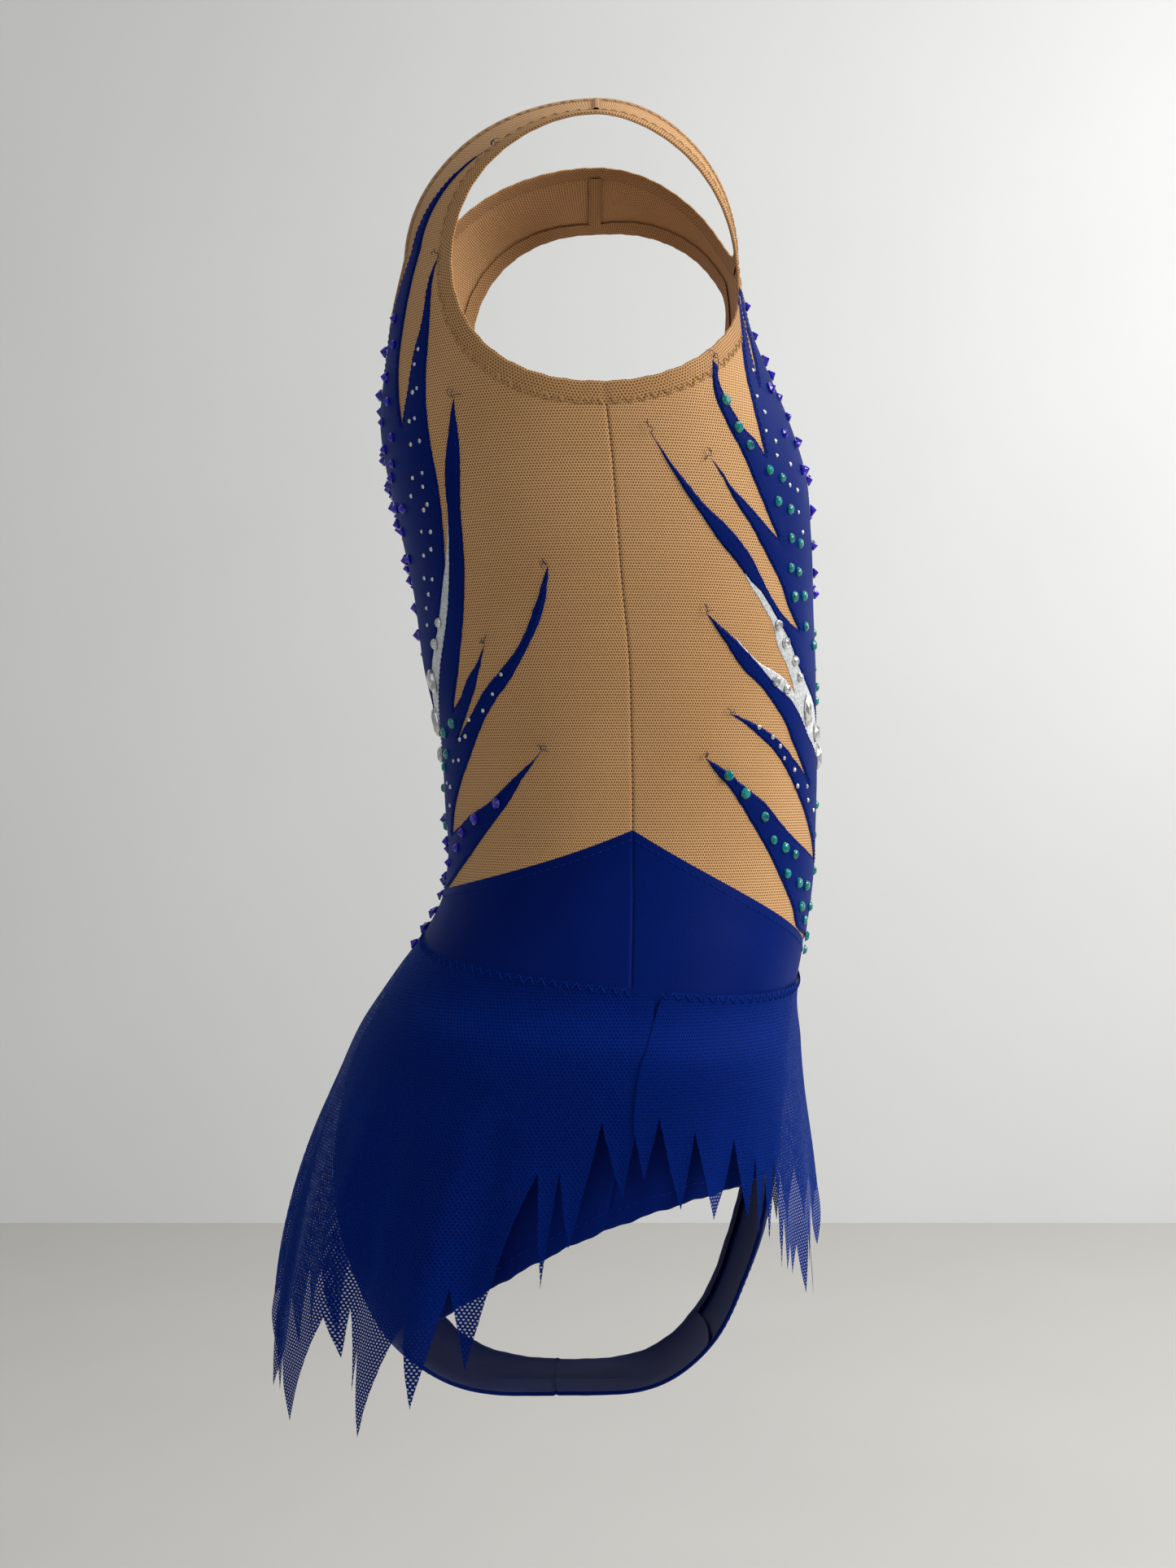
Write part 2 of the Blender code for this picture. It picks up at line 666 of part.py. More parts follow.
def build():
    for existing in list(bpy.data.objects):
        bpy.data.objects.remove(existing)
    bpy.context.scene.collection.children.link(bpy.data.collections.new(COLLECTION))

    power_mesh = material("power_mesh", (0.73, 0.46, 0.22), 0.7)
    lycra = material("blue_lycra", (0.0, 0.02, 0.25), 0.4)
    stretch_mesh = material("blue_stretch_mesh", (0.01, 0.03, 0.22), 0.6)
    silver = material("silver_glitter", (0.6, 0.6, 0.6), 0.35, metallic=0.8)
    glass = material("clear_crystal", (0.8, 0.85, 0.9), 0.05)

    bodice(power_mesh)
    briefs(lycra)
    bindings(power_mesh, lycra)
    side_seams(power_mesh, lycra)
    applique("front_flame_upper", lycra, FRONT, FRONT_FLAME_UPPER)
    applique("front_flame_lower", lycra, FRONT, FRONT_FLAME_LOWER)
    applique("front_silver_insert", silver, FRONT, FRONT_SILVER)
    applique("back_flame_upper", lycra, BACK, BACK_FLAME_UPPER)
    applique("back_flame_lower", lycra, BACK, BACK_FLAME_LOWER)
    applique("back_silver_insert", silver, BACK, BACK_SILVER)
    for half, word in ((FRONT, "front"), (BACK, "back")):
        skirt_upper(f"skirt_{word}_upper", stretch_mesh, half)
        skirt_lower(f"skirt_{word}_lower", stretch_mesh, half)
    shoulder_seam("shoulder_seam_left", power_mesh, 1)
    shoulder_seam("shoulder_seam_right", power_mesh, -1)
    crystals(glass)


build()
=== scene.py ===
"""Looks of a child's rhythmic-gymnastics leotard with a jagged skirt.

A place on the garment is stated as on its pattern: the half (FRONT or BACK), how far across it, from 0
at the centre line to 1 at the wearer's left side seam and -1 at the right one, and the level, which is
the height up to the chest and then runs on over the shoulder, and below the hips under the crotch.
"""

import math

import bpy
import numpy as np
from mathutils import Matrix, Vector
from mathutils.geometry import delaunay_2d_cdt


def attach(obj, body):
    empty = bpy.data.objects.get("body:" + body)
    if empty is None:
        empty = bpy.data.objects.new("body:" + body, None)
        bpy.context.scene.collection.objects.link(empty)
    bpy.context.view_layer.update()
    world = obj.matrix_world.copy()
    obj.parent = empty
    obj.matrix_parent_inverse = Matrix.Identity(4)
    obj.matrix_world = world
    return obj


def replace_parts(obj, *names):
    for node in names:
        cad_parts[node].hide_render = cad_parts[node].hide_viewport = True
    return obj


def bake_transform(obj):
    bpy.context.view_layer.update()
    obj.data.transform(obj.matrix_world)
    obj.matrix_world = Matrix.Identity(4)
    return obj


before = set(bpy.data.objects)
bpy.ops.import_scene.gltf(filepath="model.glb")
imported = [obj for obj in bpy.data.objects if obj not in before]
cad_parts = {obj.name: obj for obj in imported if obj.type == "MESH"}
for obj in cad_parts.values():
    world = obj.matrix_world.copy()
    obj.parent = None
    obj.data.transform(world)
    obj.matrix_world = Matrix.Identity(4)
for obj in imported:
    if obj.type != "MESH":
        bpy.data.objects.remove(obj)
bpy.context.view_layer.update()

MM = 0.001
FRONT, BACK = -1, 1
WORD = {FRONT: "front", BACK: "back"}
SIDES = (("left", 1), ("right", -1))

# The form, in millimetres: level, height, front, side seam and back along Y, half width along X.
TORSO = np.array([
    (-620, -545, -8, 18, 38, 0), (-600, -543, -22, 17, 52, 32), (-572, -535, -38, 16, 72, 64),
    (-540, -518, -54, 13, 92, 92), (-502, -490, -67, 6, 106, 113), (-465, -462, -75.5, -2, 113, 121),
    (-430, -430, -80, -8, 112.5, 121), (-400, -400, -82, -12, 105.5, 117.5),
    (-370, -370, -86, -13.5, 90, 111), (-350, -350, -90, -14, 77, 106),
    (-330, -330, -93, -14.5, 66.5, 100.5), (-315, -315, -94.5, -14.5, 64, 97.5),
    (-290, -290, -95.5, -14.5, 65, 96.5), (-260, -260, -95.5, -14, 67.5, 99),
    (-230, -230, -95, -13, 74.5, 103.5), (-200, -200, -94, -10, 78.5, 108.5),
    (-175, -175, -93, -8, 83.5, 112), (-150, -150, -91, -6, 89.5, 114),
    (-125, -125, -83, -3, 93, 115.5), (-100, -100, -72, 0, 91, 115),
    (-80, -80, -65, 1, 88.5, 114), (-60, -60, -62, 1, 84, 113),
]) * MM
SKIRT = np.array([
    (-570, -570, -97, -2, 140, 133.5), (-520, -520, -96.5, -4, 138.5, 132.5),
    (-480, -480, -95, -7, 133.5, 131), (-440, -440, -92.5, -10, 124, 130.5),
    (-410, -410, -89.5, -12, 113, 129.5), (-385, -385, -88, -13, 102.5, 125.5),
    (-365, -365, -89.5, -13.5, 89.5, 112.5), (-340, -340, -93.7, -14, 74.5, 105.8),
]) * MM
POWER = 2.4
CHEST_LEVEL, CREST_LEVEL = -60 * MM, 45 * MM
SHOULDER_SLOPE, CREST_X, SLOPE_LEVEL = 0.4, 70 * MM, -100 * MM
GIRTH = 165 * MM

# Lifts of the cloth layers off the form.
TRIM_LIFT = 0.9 * MM
RIM_LIFT = 0.15 * MM
STONE_LIFT = 0.95 * MM
LINING_LIFT = -1.0 * MM
SKIRT_LIFT = 0.7 * MM

# Openings: neck width and depths (front, back); centre and half sizes of the armhole and the leg.
NECK_WIDTH, NECK_DEPTH = 55 * MM, (97 * MM, 137 * MM)
ARM = (-1 * MM, -68 * MM, 59.5 * MM, 54.5 * MM)
LEG = (85 * MM, 5 * MM, 55 * MM, 83 * MM)
LEG_LINE, LEG_CORNER = -457 * MM, 8 * MM
GUSSET_TOP = -548 * MM

# Spacing of the points of the cloth, of the edge lines and of the straight stitching.
CLOTH_STEP, EDGE_STEP, THREAD_STEP = 2.7 * MM, 1.2 * MM, 0.4 * MM
# Differences across and in level that slopes are taken from, and the least size that is divided by.
DA, DL, TINY = 1e-3, 1e-4, 1e-12


def pairs(rows):
    """The points of a table, each one written as percent across and level in millimetres."""
    return [tuple(float(number) for number in pair.split(",")) for pair in rows.split()]


# Half outlines of the trimmings, from the centre line round to the centre line.
FLAMES = {
    "front_flame_upper": (FRONT, pairs("""
        0,-104 10,-90 18,-76 27,-72 30,-84 35,-99 43,-118 39,-102 33,-86 28,-74 36,-86 43,-100 48,-114
        50,-125 51,-136 51,-148 54,-142 58,-137 61,-128 62,-120 60.5,-114 62,-111 64,-118 65,-127 63,-138
        60,-148 57,-158 53,-169 48,-181 54,-175 60,-168 65,-162 68,-156 71,-151 68,-158 64,-168 59,-177
        54,-187 47,-200 44,-208 38,-217 44,-214 50,-208 55,-199 59,-190 67,-178 73,-171 83,-154 88.5,-140.5
        84,-154 79,-166 74,-176 70,-184 64,-193 60.5,-199 56,-204 50,-214 44,-223 40,-231 32,-240 16,-251
        0,-260""")),
    "front_flame_lower": (FRONT, pairs("""
        0,-276 13,-271 31,-261 38,-253 44,-246 51,-241 58,-233 66,-223.5 75.5,-212.5 69,-226 64,-235 58,-241
        52,-249 47,-256 43,-264 37,-273 31,-281 37,-275 43,-270 49,-264 56,-259 63,-255 69,-252.5 64,-256.5
        58,-262 52,-268 46,-276 40,-285 34,-293 28,-301 15,-314 28,-310 39,-305 48,-298 56,-289 64,-282
        70,-276 77,-270.5 74,-276 69,-283 64,-292 59,-301 54,-310 47,-322 40,-332 34,-341 18,-346 0,-350""")),
    "back_flame_upper": (BACK, pairs("""
        0,-104 8,-105 15,-104 20,-92 27,-75 34,-57 44,-32 54,-8 47,-30 39,-61 37,-81 35,-102 36.5,-118
        38,-133 42,-120 44,-105 47,-92 48,-75 50,-65 49.5,-75 50,-87 50,-109 50,-127 49.5,-144 49.5,-162
        46,-190 43,-200 36,-219 22,-239 0,-258""")),
    "back_flame_lower": (BACK, pairs("""
        0,-284 12,-267 22,-252 33,-236 41,-219 46,-200 51,-172 53,-155 57,-137 59.5,-126 59,-148 56,-170
        53,-197 49,-220 44,-236 37,-250 43,-245 48,-238 53,-232 57.5,-224 54,-234 49,-245 37,-262 46,-253
        55,-242 63,-233 69,-224 74,-211 77,-202 79.5,-194 79,-200 76,-214 70,-228 64,-239 57,-248 50,-258
        43,-270 35,-282 28,-293 23,-302 32,-299 41,-294 52,-288 61,-279 68,-272 71.5,-267.5 69,-272 64,-280
        59,-289 51,-299 41,-310 32,-318 22,-325 12,-327 0,-328""")),
}
SILVERS = {
    "front_silver_insert": (FRONT, pairs("""
        0,-258 16,-249 32,-238.5 40,-230 44,-222 50,-213 56,-203 60,-198 64,-190 61,-199 56,-208 52,-216
        50,-225 46,-232 41,-244 47,-238 52,-235 58,-232 62,-228 67,-221 62,-230 56,-237 51,-242 44,-247
        38,-254 31,-262 15,-271 0,-279""")),
    "back_silver_insert": (BACK, pairs("""
        0,-256 22,-237 36,-218 43,-199 47,-188 50.5,-174 52.5,-163 50,-180 46,-200 42,-219 34,-236 22,-253
        12,-268 0,-286""")),
}
SKIRT_HEM = {
    FRONT: pairs("""
        0,-474 3,-462 6,-456 10,-468 14,-479 18,-466 21,-458 26,-484 29,-463 33,-492 36,-466 39,-489 42,-468
        45,-479 46.5,-466 48.5,-476 49.5,-455 51,-474 52,-430 55,-462 56,-434 58.5,-459 59,-428 62,-452
        66,-420 69,-437 73,-451 76,-434 79,-416 81,-431 83,-446 87,-427 90,-410 94,-434 96,-424 98,-413
        97,-394 93.5,-381 90,-367"""),
    BACK: pairs("""
        0,-530 5,-512 9,-502 13,-524 17,-538 18.5,-518 20,-503 22,-520 24,-536 27,-516 29,-508 32,-527
        36,-542 40,-519 44,-497 46,-506 47.5,-512 48.5,-492 50,-509 51,-524 51.7,-508 53,-527 54.5,-541
        57,-524 61,-504 64,-493 65,-509 66.5,-525 69,-500 71,-478 73,-494 75,-509 77.5,-482 81,-450 84,-432
        85.5,-458 86.8,-477 87.3,-452 88,-431 89.5,-447 91,-461 93,-437 95,-412 97.5,-428 100,-441 102,-422
        104,-410 107,-395 108,-368"""),
}

# Stones, as percent across and level. Those at the centre line and beside it are filled in by row.
SAPPHIRES = {
    FRONT: pairs("""
        19,-78 22,-91 23,-102 21,-108 36,-117 28,-119 25,-126 38,-136 19,-135 28,-139 18,-147 28,-149
        16,-151 15,-163 14,-178 14,-190 14,-199"""),
    BACK: pairs("""
        29,-86 31,-97 18,-96 26,-110 16,-114 30,-121 22,-127 31,-136 21,-138 10,-140 28,-146 24,-151 10,-151
        9,-160 20,-163 29,-165 13,-168 20,-173 12,-184 22,-185 9,-192 10,-204 12,-216 55,-289 45,-296
        36,-301 31,-308 20,-315 10,-306 10,-321 8,-330 8,-338 5,-345 5,-352"""),
}
TEALS = {
    FRONT: pairs("""
        62,-128 60,-138 57,-145 51,-154 45,-156 48,-166 42,-168 42,-180 36,-181 43,-192 38,-193 41,-204
        35,-202 34,-215 24,-222 14,-239 70,-278 64,-285 57,-294 53,-304 48,-307 42,-310 46,-318 38,-322
        31,-324 34,-332 21,-333 28,-338 18,-346 16,-352"""),
    BACK: pairs("""
        36,-255 27,-259 27,-268 21,-274 10,-283 10,-299"""),
}
TINIES = {
    FRONT: pairs("""
        44,-112 48,-123 46,-130 49,-138 45,-141 46,-147 39,-149 41,-158 36,-159 36,-168 33,-176 59,-258
        54,-262 50,-265 49,-270 43,-275 41,-282 34,-282 33,-288 26,-292"""),
    BACK: pairs("""
        47,-104 46,-110 45,-121 47,-120 43,-132 46,-132 42,-142 46,-141 40,-155 45,-154 44,-159 37,-162
        42,-168 44,-166 38,-176 43,-177 42,-184 37,-186 34,-195 39,-196 35,-202 32,-207 31,-214 62,-237
        58,-244 53,-251 46,-254 43,-261 39,-262 33,-271 37,-271 24,-281 28,-282 26,-290"""),
}
# Rows at the centre line: from which level to which, and how far apart.
CENTRE_ROWS = {
    ("sapphire", FRONT): (-118, -205, 15), ("teal", FRONT): (-215, -250, 15),
    ("teal_low", FRONT): (-290, -345, 14), ("sapphire", BACK): (-118, -220, 17),
    ("sapphire_low", BACK): (-296, -340, 14), ("tiny", FRONT): (-122, -240, 17),
    ("tiny", BACK): (-122, -240, 17),
}
# Crystals on the silver cloth: half, percent across, level, width and length.
CRYSTALS = (
    (FRONT, 50, -216, 4.4, 4.4), (FRONT, 47, -223, 4.8, 4.8), (FRONT, 42, -230, 4.4, 4.4),
    (FRONT, 39, -236.5, 4.2, 4.2), (FRONT, 52, -239, 4.6, 4.6), (FRONT, 47, -242, 4.2, 4.2),
    (FRONT, 33, -250, 8.5, 13.5), (FRONT, 22, -259, 7.5, 8.5), (FRONT, 10, -269, 7.5, 12.0),
    (BACK, 39, -214, 4.2, 4.2), (BACK, 35, -222.5, 4.8, 4.8), (BACK, 27, -237, 8.0, 10.5),
    (BACK, 15, -254, 8.5, 13.5), (BACK, 6, -268, 8.0, 8.0),
)

# Narrow seam pieces that are cut in one with a sheet or sewn along it.
SEWN_ON = {
    "bodice_back_cloth": [
        f"{seam}_{side}" for seam in ("side_seam_allowance", "shoulder_seam_tape", "shoulder_seam_ridge")
        for side, _ in SIDES],
    "brief_back_cloth": [f"brief_seam_allowance_{side}" for side, _ in SIDES],
}
SHEETS = []


# ---- the form

def on_half(half, across, level):
    """Places on one half, across and level given as numbers or rows of numbers."""
    across, level = np.broadcast_arrays(np.asarray(across, float), level)
    return np.stack([np.full(across.shape, float(half)), across, level], axis=1)


def hermite(t, start, end, start_slope, end_slope, step=1.0):
    low = (2 * t**3 - 3 * t**2 + 1) * start + (t**3 - 2 * t**2 + t) * step * start_slope
    return low + ((3 * t**2 - 2 * t**3) * end + (t**3 - t**2) * step * end_slope)


def stations(table, level):
    """Height, front, side seam, back and half width of the form at a level."""
    rows = table[np.argsort(table[:, 0])]
    levels, values = rows[:, 0], rows[:, 1:]
    slopes = np.gradient(values, levels, axis=0)
    level = np.clip(level, levels[0], levels[-1])
    i = np.clip(np.searchsorted(levels, level) - 1, 0, len(levels) - 2)
    step = (levels[i + 1] - levels[i])[..., None]
    t = (level - levels[i])[..., None] / step
    return np.moveaxis(hermite(t, values[i], values[i + 1], slopes[i], slopes[i + 1], step), -1, 0)


def smooth(t):
    t = np.clip(t, 0, 1)
    return t * t * (3 - 2 * t)


def wrapped(places):
    """Places past the side seam or the crest of the shoulder, on the half that they come to."""
    half, across, level = (np.array(column, dtype=float) for column in places.T)
    past = np.abs(across) > 1
    half = np.where(past, -half, half)
    across = np.where(past, np.sign(across) * (2 - np.abs(across)), across)
    over = level > CREST_LEVEL
    half = np.where(over, -half, half)
    level = np.where(over, 2 * CREST_LEVEL - level, level)
    return np.stack([half, across, level], axis=1)


def point(table, places):
    """Where places on the pattern are in space."""
    half, across, level = wrapped(places).T
    z, front, side, back, width = stations(table, level)
    if table is TORSO:
        turn = np.clip((level - CHEST_LEVEL) / (CREST_LEVEL - CHEST_LEVEL), 0, 1) * math.pi / 2
        z = np.where(level > CHEST_LEVEL, CHEST_LEVEL * (1 - np.sin(turn)), z)
        front, side, back = front * np.cos(turn), side * np.cos(turn), back * np.cos(turn)
    angle = across * math.pi / 2
    reach = (np.abs(np.cos(angle)) ** POWER + np.abs(np.sin(angle)) ** POWER) ** (-1 / POWER)
    x = width * np.sin(angle) * reach
    y = side + np.where(half > 0, back - side, front - side) * np.cos(angle) * reach
    if table is TORSO:
        rise = smooth((level - SLOPE_LEVEL) / (CREST_LEVEL - SLOPE_LEVEL))
        z = z - SHOULDER_SLOPE * (np.abs(x) - CREST_X) * rise
    return np.stack([x, y, z], axis=1)


def moved(places, across, level):
    return places + np.array([0, across, level])


def tangents(table, places):
    low = places.copy()
    low[:, 2] = np.maximum(low[:, 2], table[:, 0].min() + 2 * MM)
    along_a = (point(table, moved(low, DA, 0)) - point(table, moved(low, -DA, 0))) / (2 * DA)
    along_l = (point(table, moved(low, 0, DL)) - point(table, moved(low, 0, -DL))) / (2 * DL)
    return along_a, along_l


def metric(a, l):
    """The squares and the product of two tangents, and the square of the area that they span."""
    aa, al, ll = (a * a).sum(1), (a * l).sum(1), (l * l).sum(1)
    return aa, al, ll, np.maximum(aa * ll - al**2, 1e-14)


def unit(v):
    return v / np.maximum(np.linalg.norm(v, axis=1, keepdims=True), TINY)


def normal(table, places):
    at = point(table, places)
    along_a, along_l = tangents(table, places)
    made = unit(np.cross(along_a, along_l))
    level = np.clip(wrapped(places)[:, 2], table[:, 0].min(), None)
    side = stations(table, level)[2] * (np.abs(at[:, 2]) > 0.03)
    middle = np.stack([0 * side, side, np.clip(at[:, 2], -0.46, -0.1)], axis=1)
    facing = (made * (at - middle)).sum(1, keepdims=True)
    return made * np.where(facing < 0, -1, 1)


def ripple(at):
    """The slight unevenness of stretched cloth."""
    x, y, z = at.T
    waves = np.sin(61 * x + 83 * z + 1.3) * np.sin(71 * y - 57 * z) + 0.6 * np.sin(140 * z + 90 * y + 60 * x)
    return 0.12 * MM * waves


def seam_dip(places):
    """Cloth that is drawn in along the side seam."""
    away = (1 - np.abs(wrapped(places)[:, 1])) * GIRTH
    return -0.5 * MM * np.exp(-((away / (0.7 * MM)) ** 2))


def lay(places, lift, table=TORSO):
    at = point(table, places)
    rise = lift + (ripple(at) + seam_dip(places) if table is TORSO else 0)
    return at + normal(table, places) * np.asarray(rise).reshape(-1, 1)


def walk(places, direction, distance, table=TORSO, steps=4):
    """Places at a distance along the cloth in a direction."""
    step = np.broadcast_to(np.asarray(distance, float), (len(places),)) / steps
    for _ in range(steps):
        a, l = tangents(table, places)
        aa, al, ll, area = metric(a, l)
        on_a, on_l = (a * direction).sum(1), (l * direction).sum(1)
        across, level = (ll * on_a - al * on_l) / area * step, (aa * on_l - al * on_a) / area * step
        places = wrapped(places + np.stack([0 * aa, across, level], axis=1))
    return places


# ---- lines on the form

def oval(u, v, power):
    return (np.abs(u) ** power + np.abs(v) ** power) ** (1 / power) - 1


def neck_value(places):
    x = point(TORSO, places)[:, 0]
    half, _, level = wrapped(places).T
    depth = np.where(half > 0, NECK_DEPTH[1], NECK_DEPTH[0])
    return oval(x / NECK_WIDTH, (CREST_LEVEL - level) / depth, 2.2)


def arm_value(places):
    _, y, z = point(TORSO, places).T
    u, v = (y - ARM[0]) / ARM[2], (z - ARM[1]) / ARM[3]
    return np.where(z > ARM[1], oval(u, v, 2.0), oval(u, v, 2.2))


def leg_value(places):
    x, y, z = point(TORSO, places).T
    tube = oval((np.abs(x) - LEG[0]) / LEG[2], (y - LEG[1]) / LEG[3], 2) * LEG[2]
    line = z - (LEG_LINE - 0.43 * y - 3.0 * y * y)
    blend = np.maximum(LEG_CORNER - np.abs(tube - line), 0) / LEG_CORNER
    return np.maximum(tube, line) + blend * blend * LEG_CORNER / 4


def brief_top(places):
    half, across, _ = wrapped(places).T
    across = np.abs(across)
    return np.where(half > 0, -327 + 27.5 * across**1.9, -352 + 52.5 * across**1.5) * MM


def skirt_seam(half, across):
    across = np.abs(across)
    if half == BACK:
        return np.where(across > 1, -364.5, -344 - 20.5 * np.minimum(across, 1) ** 0.8) * MM
    return (-364.4 - 4 * np.sin(math.pi * across)) * MM


def distance_from(value, places):
    """Distance along the cloth from the line where value is zero."""
    aa, al, ll, area = metric(*tangents(TORSO, places))
    va = (value(moved(places, DA, 0)) - value(moved(places, -DA, 0))) / (2 * DA)
    vl = (value(moved(places, 0, DL)) - value(moved(places, 0, -DL))) / (2 * DL)
    slope = (va**2 * ll - 2 * va * vl * al + vl**2 * aa) / area
    return value(places) / np.sqrt(np.maximum(slope, 1e-9))


# ---- cloth meshes

def lattice(half, columns, levels):
    across, level = np.meshgrid(columns, levels)
    places = on_half(half, across.ravel(), level.ravel())
    wide = len(columns)
    corner = (np.arange(len(levels) - 1)[:, None] * wide + np.arange(wide - 1)).ravel()
    faces = np.concatenate([
        np.stack([corner, corner + 1, corner + wide + 1], axis=1),
        np.stack([corner, corner + wide + 1, corner + wide], axis=1),
    ])
    return places, faces


def clip(places, faces, keep):
    """The part of a cloth where keep is positive, cut along keep's zero line."""
    inside = keep(places) >= 0
    count = inside[faces].sum(1)
    made = [faces[count == 3]]
    extra = []

    def crossing(i, o):
        keys = i * len(places) + o
        unique, back = np.unique(keys, return_inverse=True)
        low, high = places[unique // len(places)], places[unique % len(places)]
        start, end = np.zeros(len(low)), np.ones(len(low))
        for _ in range(16):
            middle = (start + end) / 2
            good = keep(low + (high - low) * middle[:, None]) >= 0
            start, end = np.where(good, middle, start), np.where(good, end, middle)
        extra.append(low + (high - low) * start[:, None])
        first = len(places) + sum(len(e) for e in extra[:-1])
        return first + back.ravel()

    for number in (1, 2):
        part = faces[count == number]
        if not len(part):
            continue
        odd = (inside[part] == (number == 1)).argmax(1)
        a, b, c = (part[np.arange(len(part)), (odd + k) % 3] for k in range(3))
        if number == 1:
            both = crossing(np.concatenate([a, a]), np.concatenate([b, c]))
            ab, ac = both[: len(a)], both[len(a):]
            made.append(np.stack([a, ab, ac], axis=1))
        else:
            both = crossing(np.concatenate([b, c]), np.concatenate([a, a]))
            ab, ac = both[: len(a)], both[len(a):]
            made += [np.stack([ab, b, c], axis=1), np.stack([ab, c, ac], axis=1)]
    every = np.concatenate([places, *extra])
    every, index = np.unique(np.round(every, 9), axis=0, return_inverse=True)
    faces = index.ravel()[np.concatenate(made)]
    faces = faces[(faces != np.roll(faces, 1, axis=1)).all(1)]
    used, faces = np.unique(faces, return_inverse=True)
    return every[used], faces.reshape(-1, 3)


def joined(parts):
    places, faces, first = [], [], 0
    for some, triangles in parts:
        places.append(some)
        faces.append(triangles + first)
        first += len(some)
    return np.concatenate(places), np.concatenate(faces)


def linked(name, data):
    made = bpy.data.objects.new(name, data)
    bpy.context.scene.collection.objects.link(made)
    return made


def mesh_piece(name, points, faces, finish, uv=None, facet=None, flat=False):
    mesh = bpy.data.meshes.new(name)
    mesh.from_pydata([tuple(p) for p in points], [], [tuple(int(i) for i in f) for f in faces])
    mesh.materials.append(finish)
    if uv is not None:
        layer = mesh.uv_layers.new(name="pattern")
        loops = np.zeros(len(mesh.loops), np.int32)
        mesh.loops.foreach_get("vertex_index", loops)
        layer.data.foreach_set("uv", np.asarray(uv, np.float32)[loops].ravel())
    if facet is not None:
        layer = mesh.attributes.new("facet", "FLOAT", "FACE")
        layer.data.foreach_set("value", np.asarray(facet, np.float32))
    mesh.validate()
    if not flat:
        mesh.polygons.foreach_set("use_smooth", [True] * len(mesh.polygons))
    return linked(name, mesh)


def pattern_uv(places):
    return places[:, 1:] * (GIRTH, 1)


def outwards(points, faces, normals):
    a, b, c = (points[faces[:, k]] for k in range(3))
    facing = (np.cross(b - a, c - a) * normals[faces[:, 0]]).sum(1) < 0
    faces = faces.copy()
    faces[facing] = faces[facing][:, ::-1]
    return faces


def cloth(name, places, faces, lift, finish, table=TORSO, shape=None):
    points = lay(places, lift, table) if shape is None else shape
    faces = outwards(points, faces, normal(table, places))
    return mesh_piece(name, points, faces, finish, pattern_uv(places))


# ---- edge lines

def chain(places, faces, value):
    """The places along the cloth's border where value is zero, in order."""
    edges = np.sort(np.concatenate([faces[:, [0, 1]], faces[:, [1, 2]], faces[:, [2, 0]]]), axis=1)
    edges, count = np.unique(edges, axis=0, return_counts=True)
    near = np.abs(value(places)) < 1e-4
    edges = edges[(count == 1) & near[edges].all(1)]
    linked = {}
    for a, b in edges:
        linked.setdefault(int(a), []).append(int(b))
        linked.setdefault(int(b), []).append(int(a))
    ends = [v for v, others in linked.items() if len(others) == 1]
    order, last = [ends[0]], None
    while True:
        following = [v for v in linked[order[-1]] if v != last]
        if not following:
            break
        last = order[-1]
        order.append(following[0])
    return places[order]


def resampled(places, step, closed):
    """A line's places anew, at even steps along it."""
    points = point(TORSO, places)
    if closed:
        places, points = np.concatenate([places, places[:1]]), np.concatenate([points, points[:1]])
    gaps = np.linalg.norm(np.diff(points, axis=0), axis=1)
    along = np.concatenate([[0], np.cumsum(gaps)])
    count = max(int(round(along[-1] / step)), 2)
    at = np.linspace(0, along[-1], count + 1)[: -1 if closed else None]
    i = np.clip(np.searchsorted(along, at, side="right") - 1, 0, len(places) - 2)
    t = ((at - along[i]) / np.maximum(gaps[i], TINY))[:, None]
    low, high = places[i], places[i + 1].copy()
    other = low[:, 0] != high[:, 0]
    high[other] = low[other]
    return low + (high - low) * t


def opening(value, level_low, level_high, whole):
    """The edge of an opening as a closed line: round the wearer's left arm or leg, or the whole neck."""
    columns = np.linspace(-1 if whole else 0, 1, 241 if whole else 161)
    parts = []
    for half in (FRONT, BACK):
        places, faces = lattice(half, columns, np.linspace(level_low, level_high, 181))
        places, faces = clip(places, faces, value)
        parts.append(chain(places, faces, value))
    front, back = parts
    ends = point(TORSO, front[[-1]]), point(TORSO, back[[0, -1]])
    if np.linalg.norm(ends[0][0] - ends[1][1]) < np.linalg.norm(ends[0][0] - ends[1][0]):
        back = back[::-1]
    return resampled(np.concatenate([front, back]), EDGE_STEP, True)


def inward(line, value):
    """Unit directions along the cloth, square to a closed edge line and into the cloth."""
    at = point(TORSO, line)
    along = unit(np.roll(at, -2, axis=0) - np.roll(at, 2, axis=0))
    across = unit(np.cross(normal(TORSO, line), along))
    gain = value(walk(line, across, 1 * MM)) - value(walk(line, -across, 1 * MM))
    return across * np.sign(gain)[:, None]


def across_line(line):
    """Unit directions along the cloth, square to an open line."""
    along = unit(np.gradient(point(TORSO, line), axis=0))
    return unit(np.cross(normal(TORSO, line), along))


def mirrored(places):
    return places * np.array([1, -1, 1])


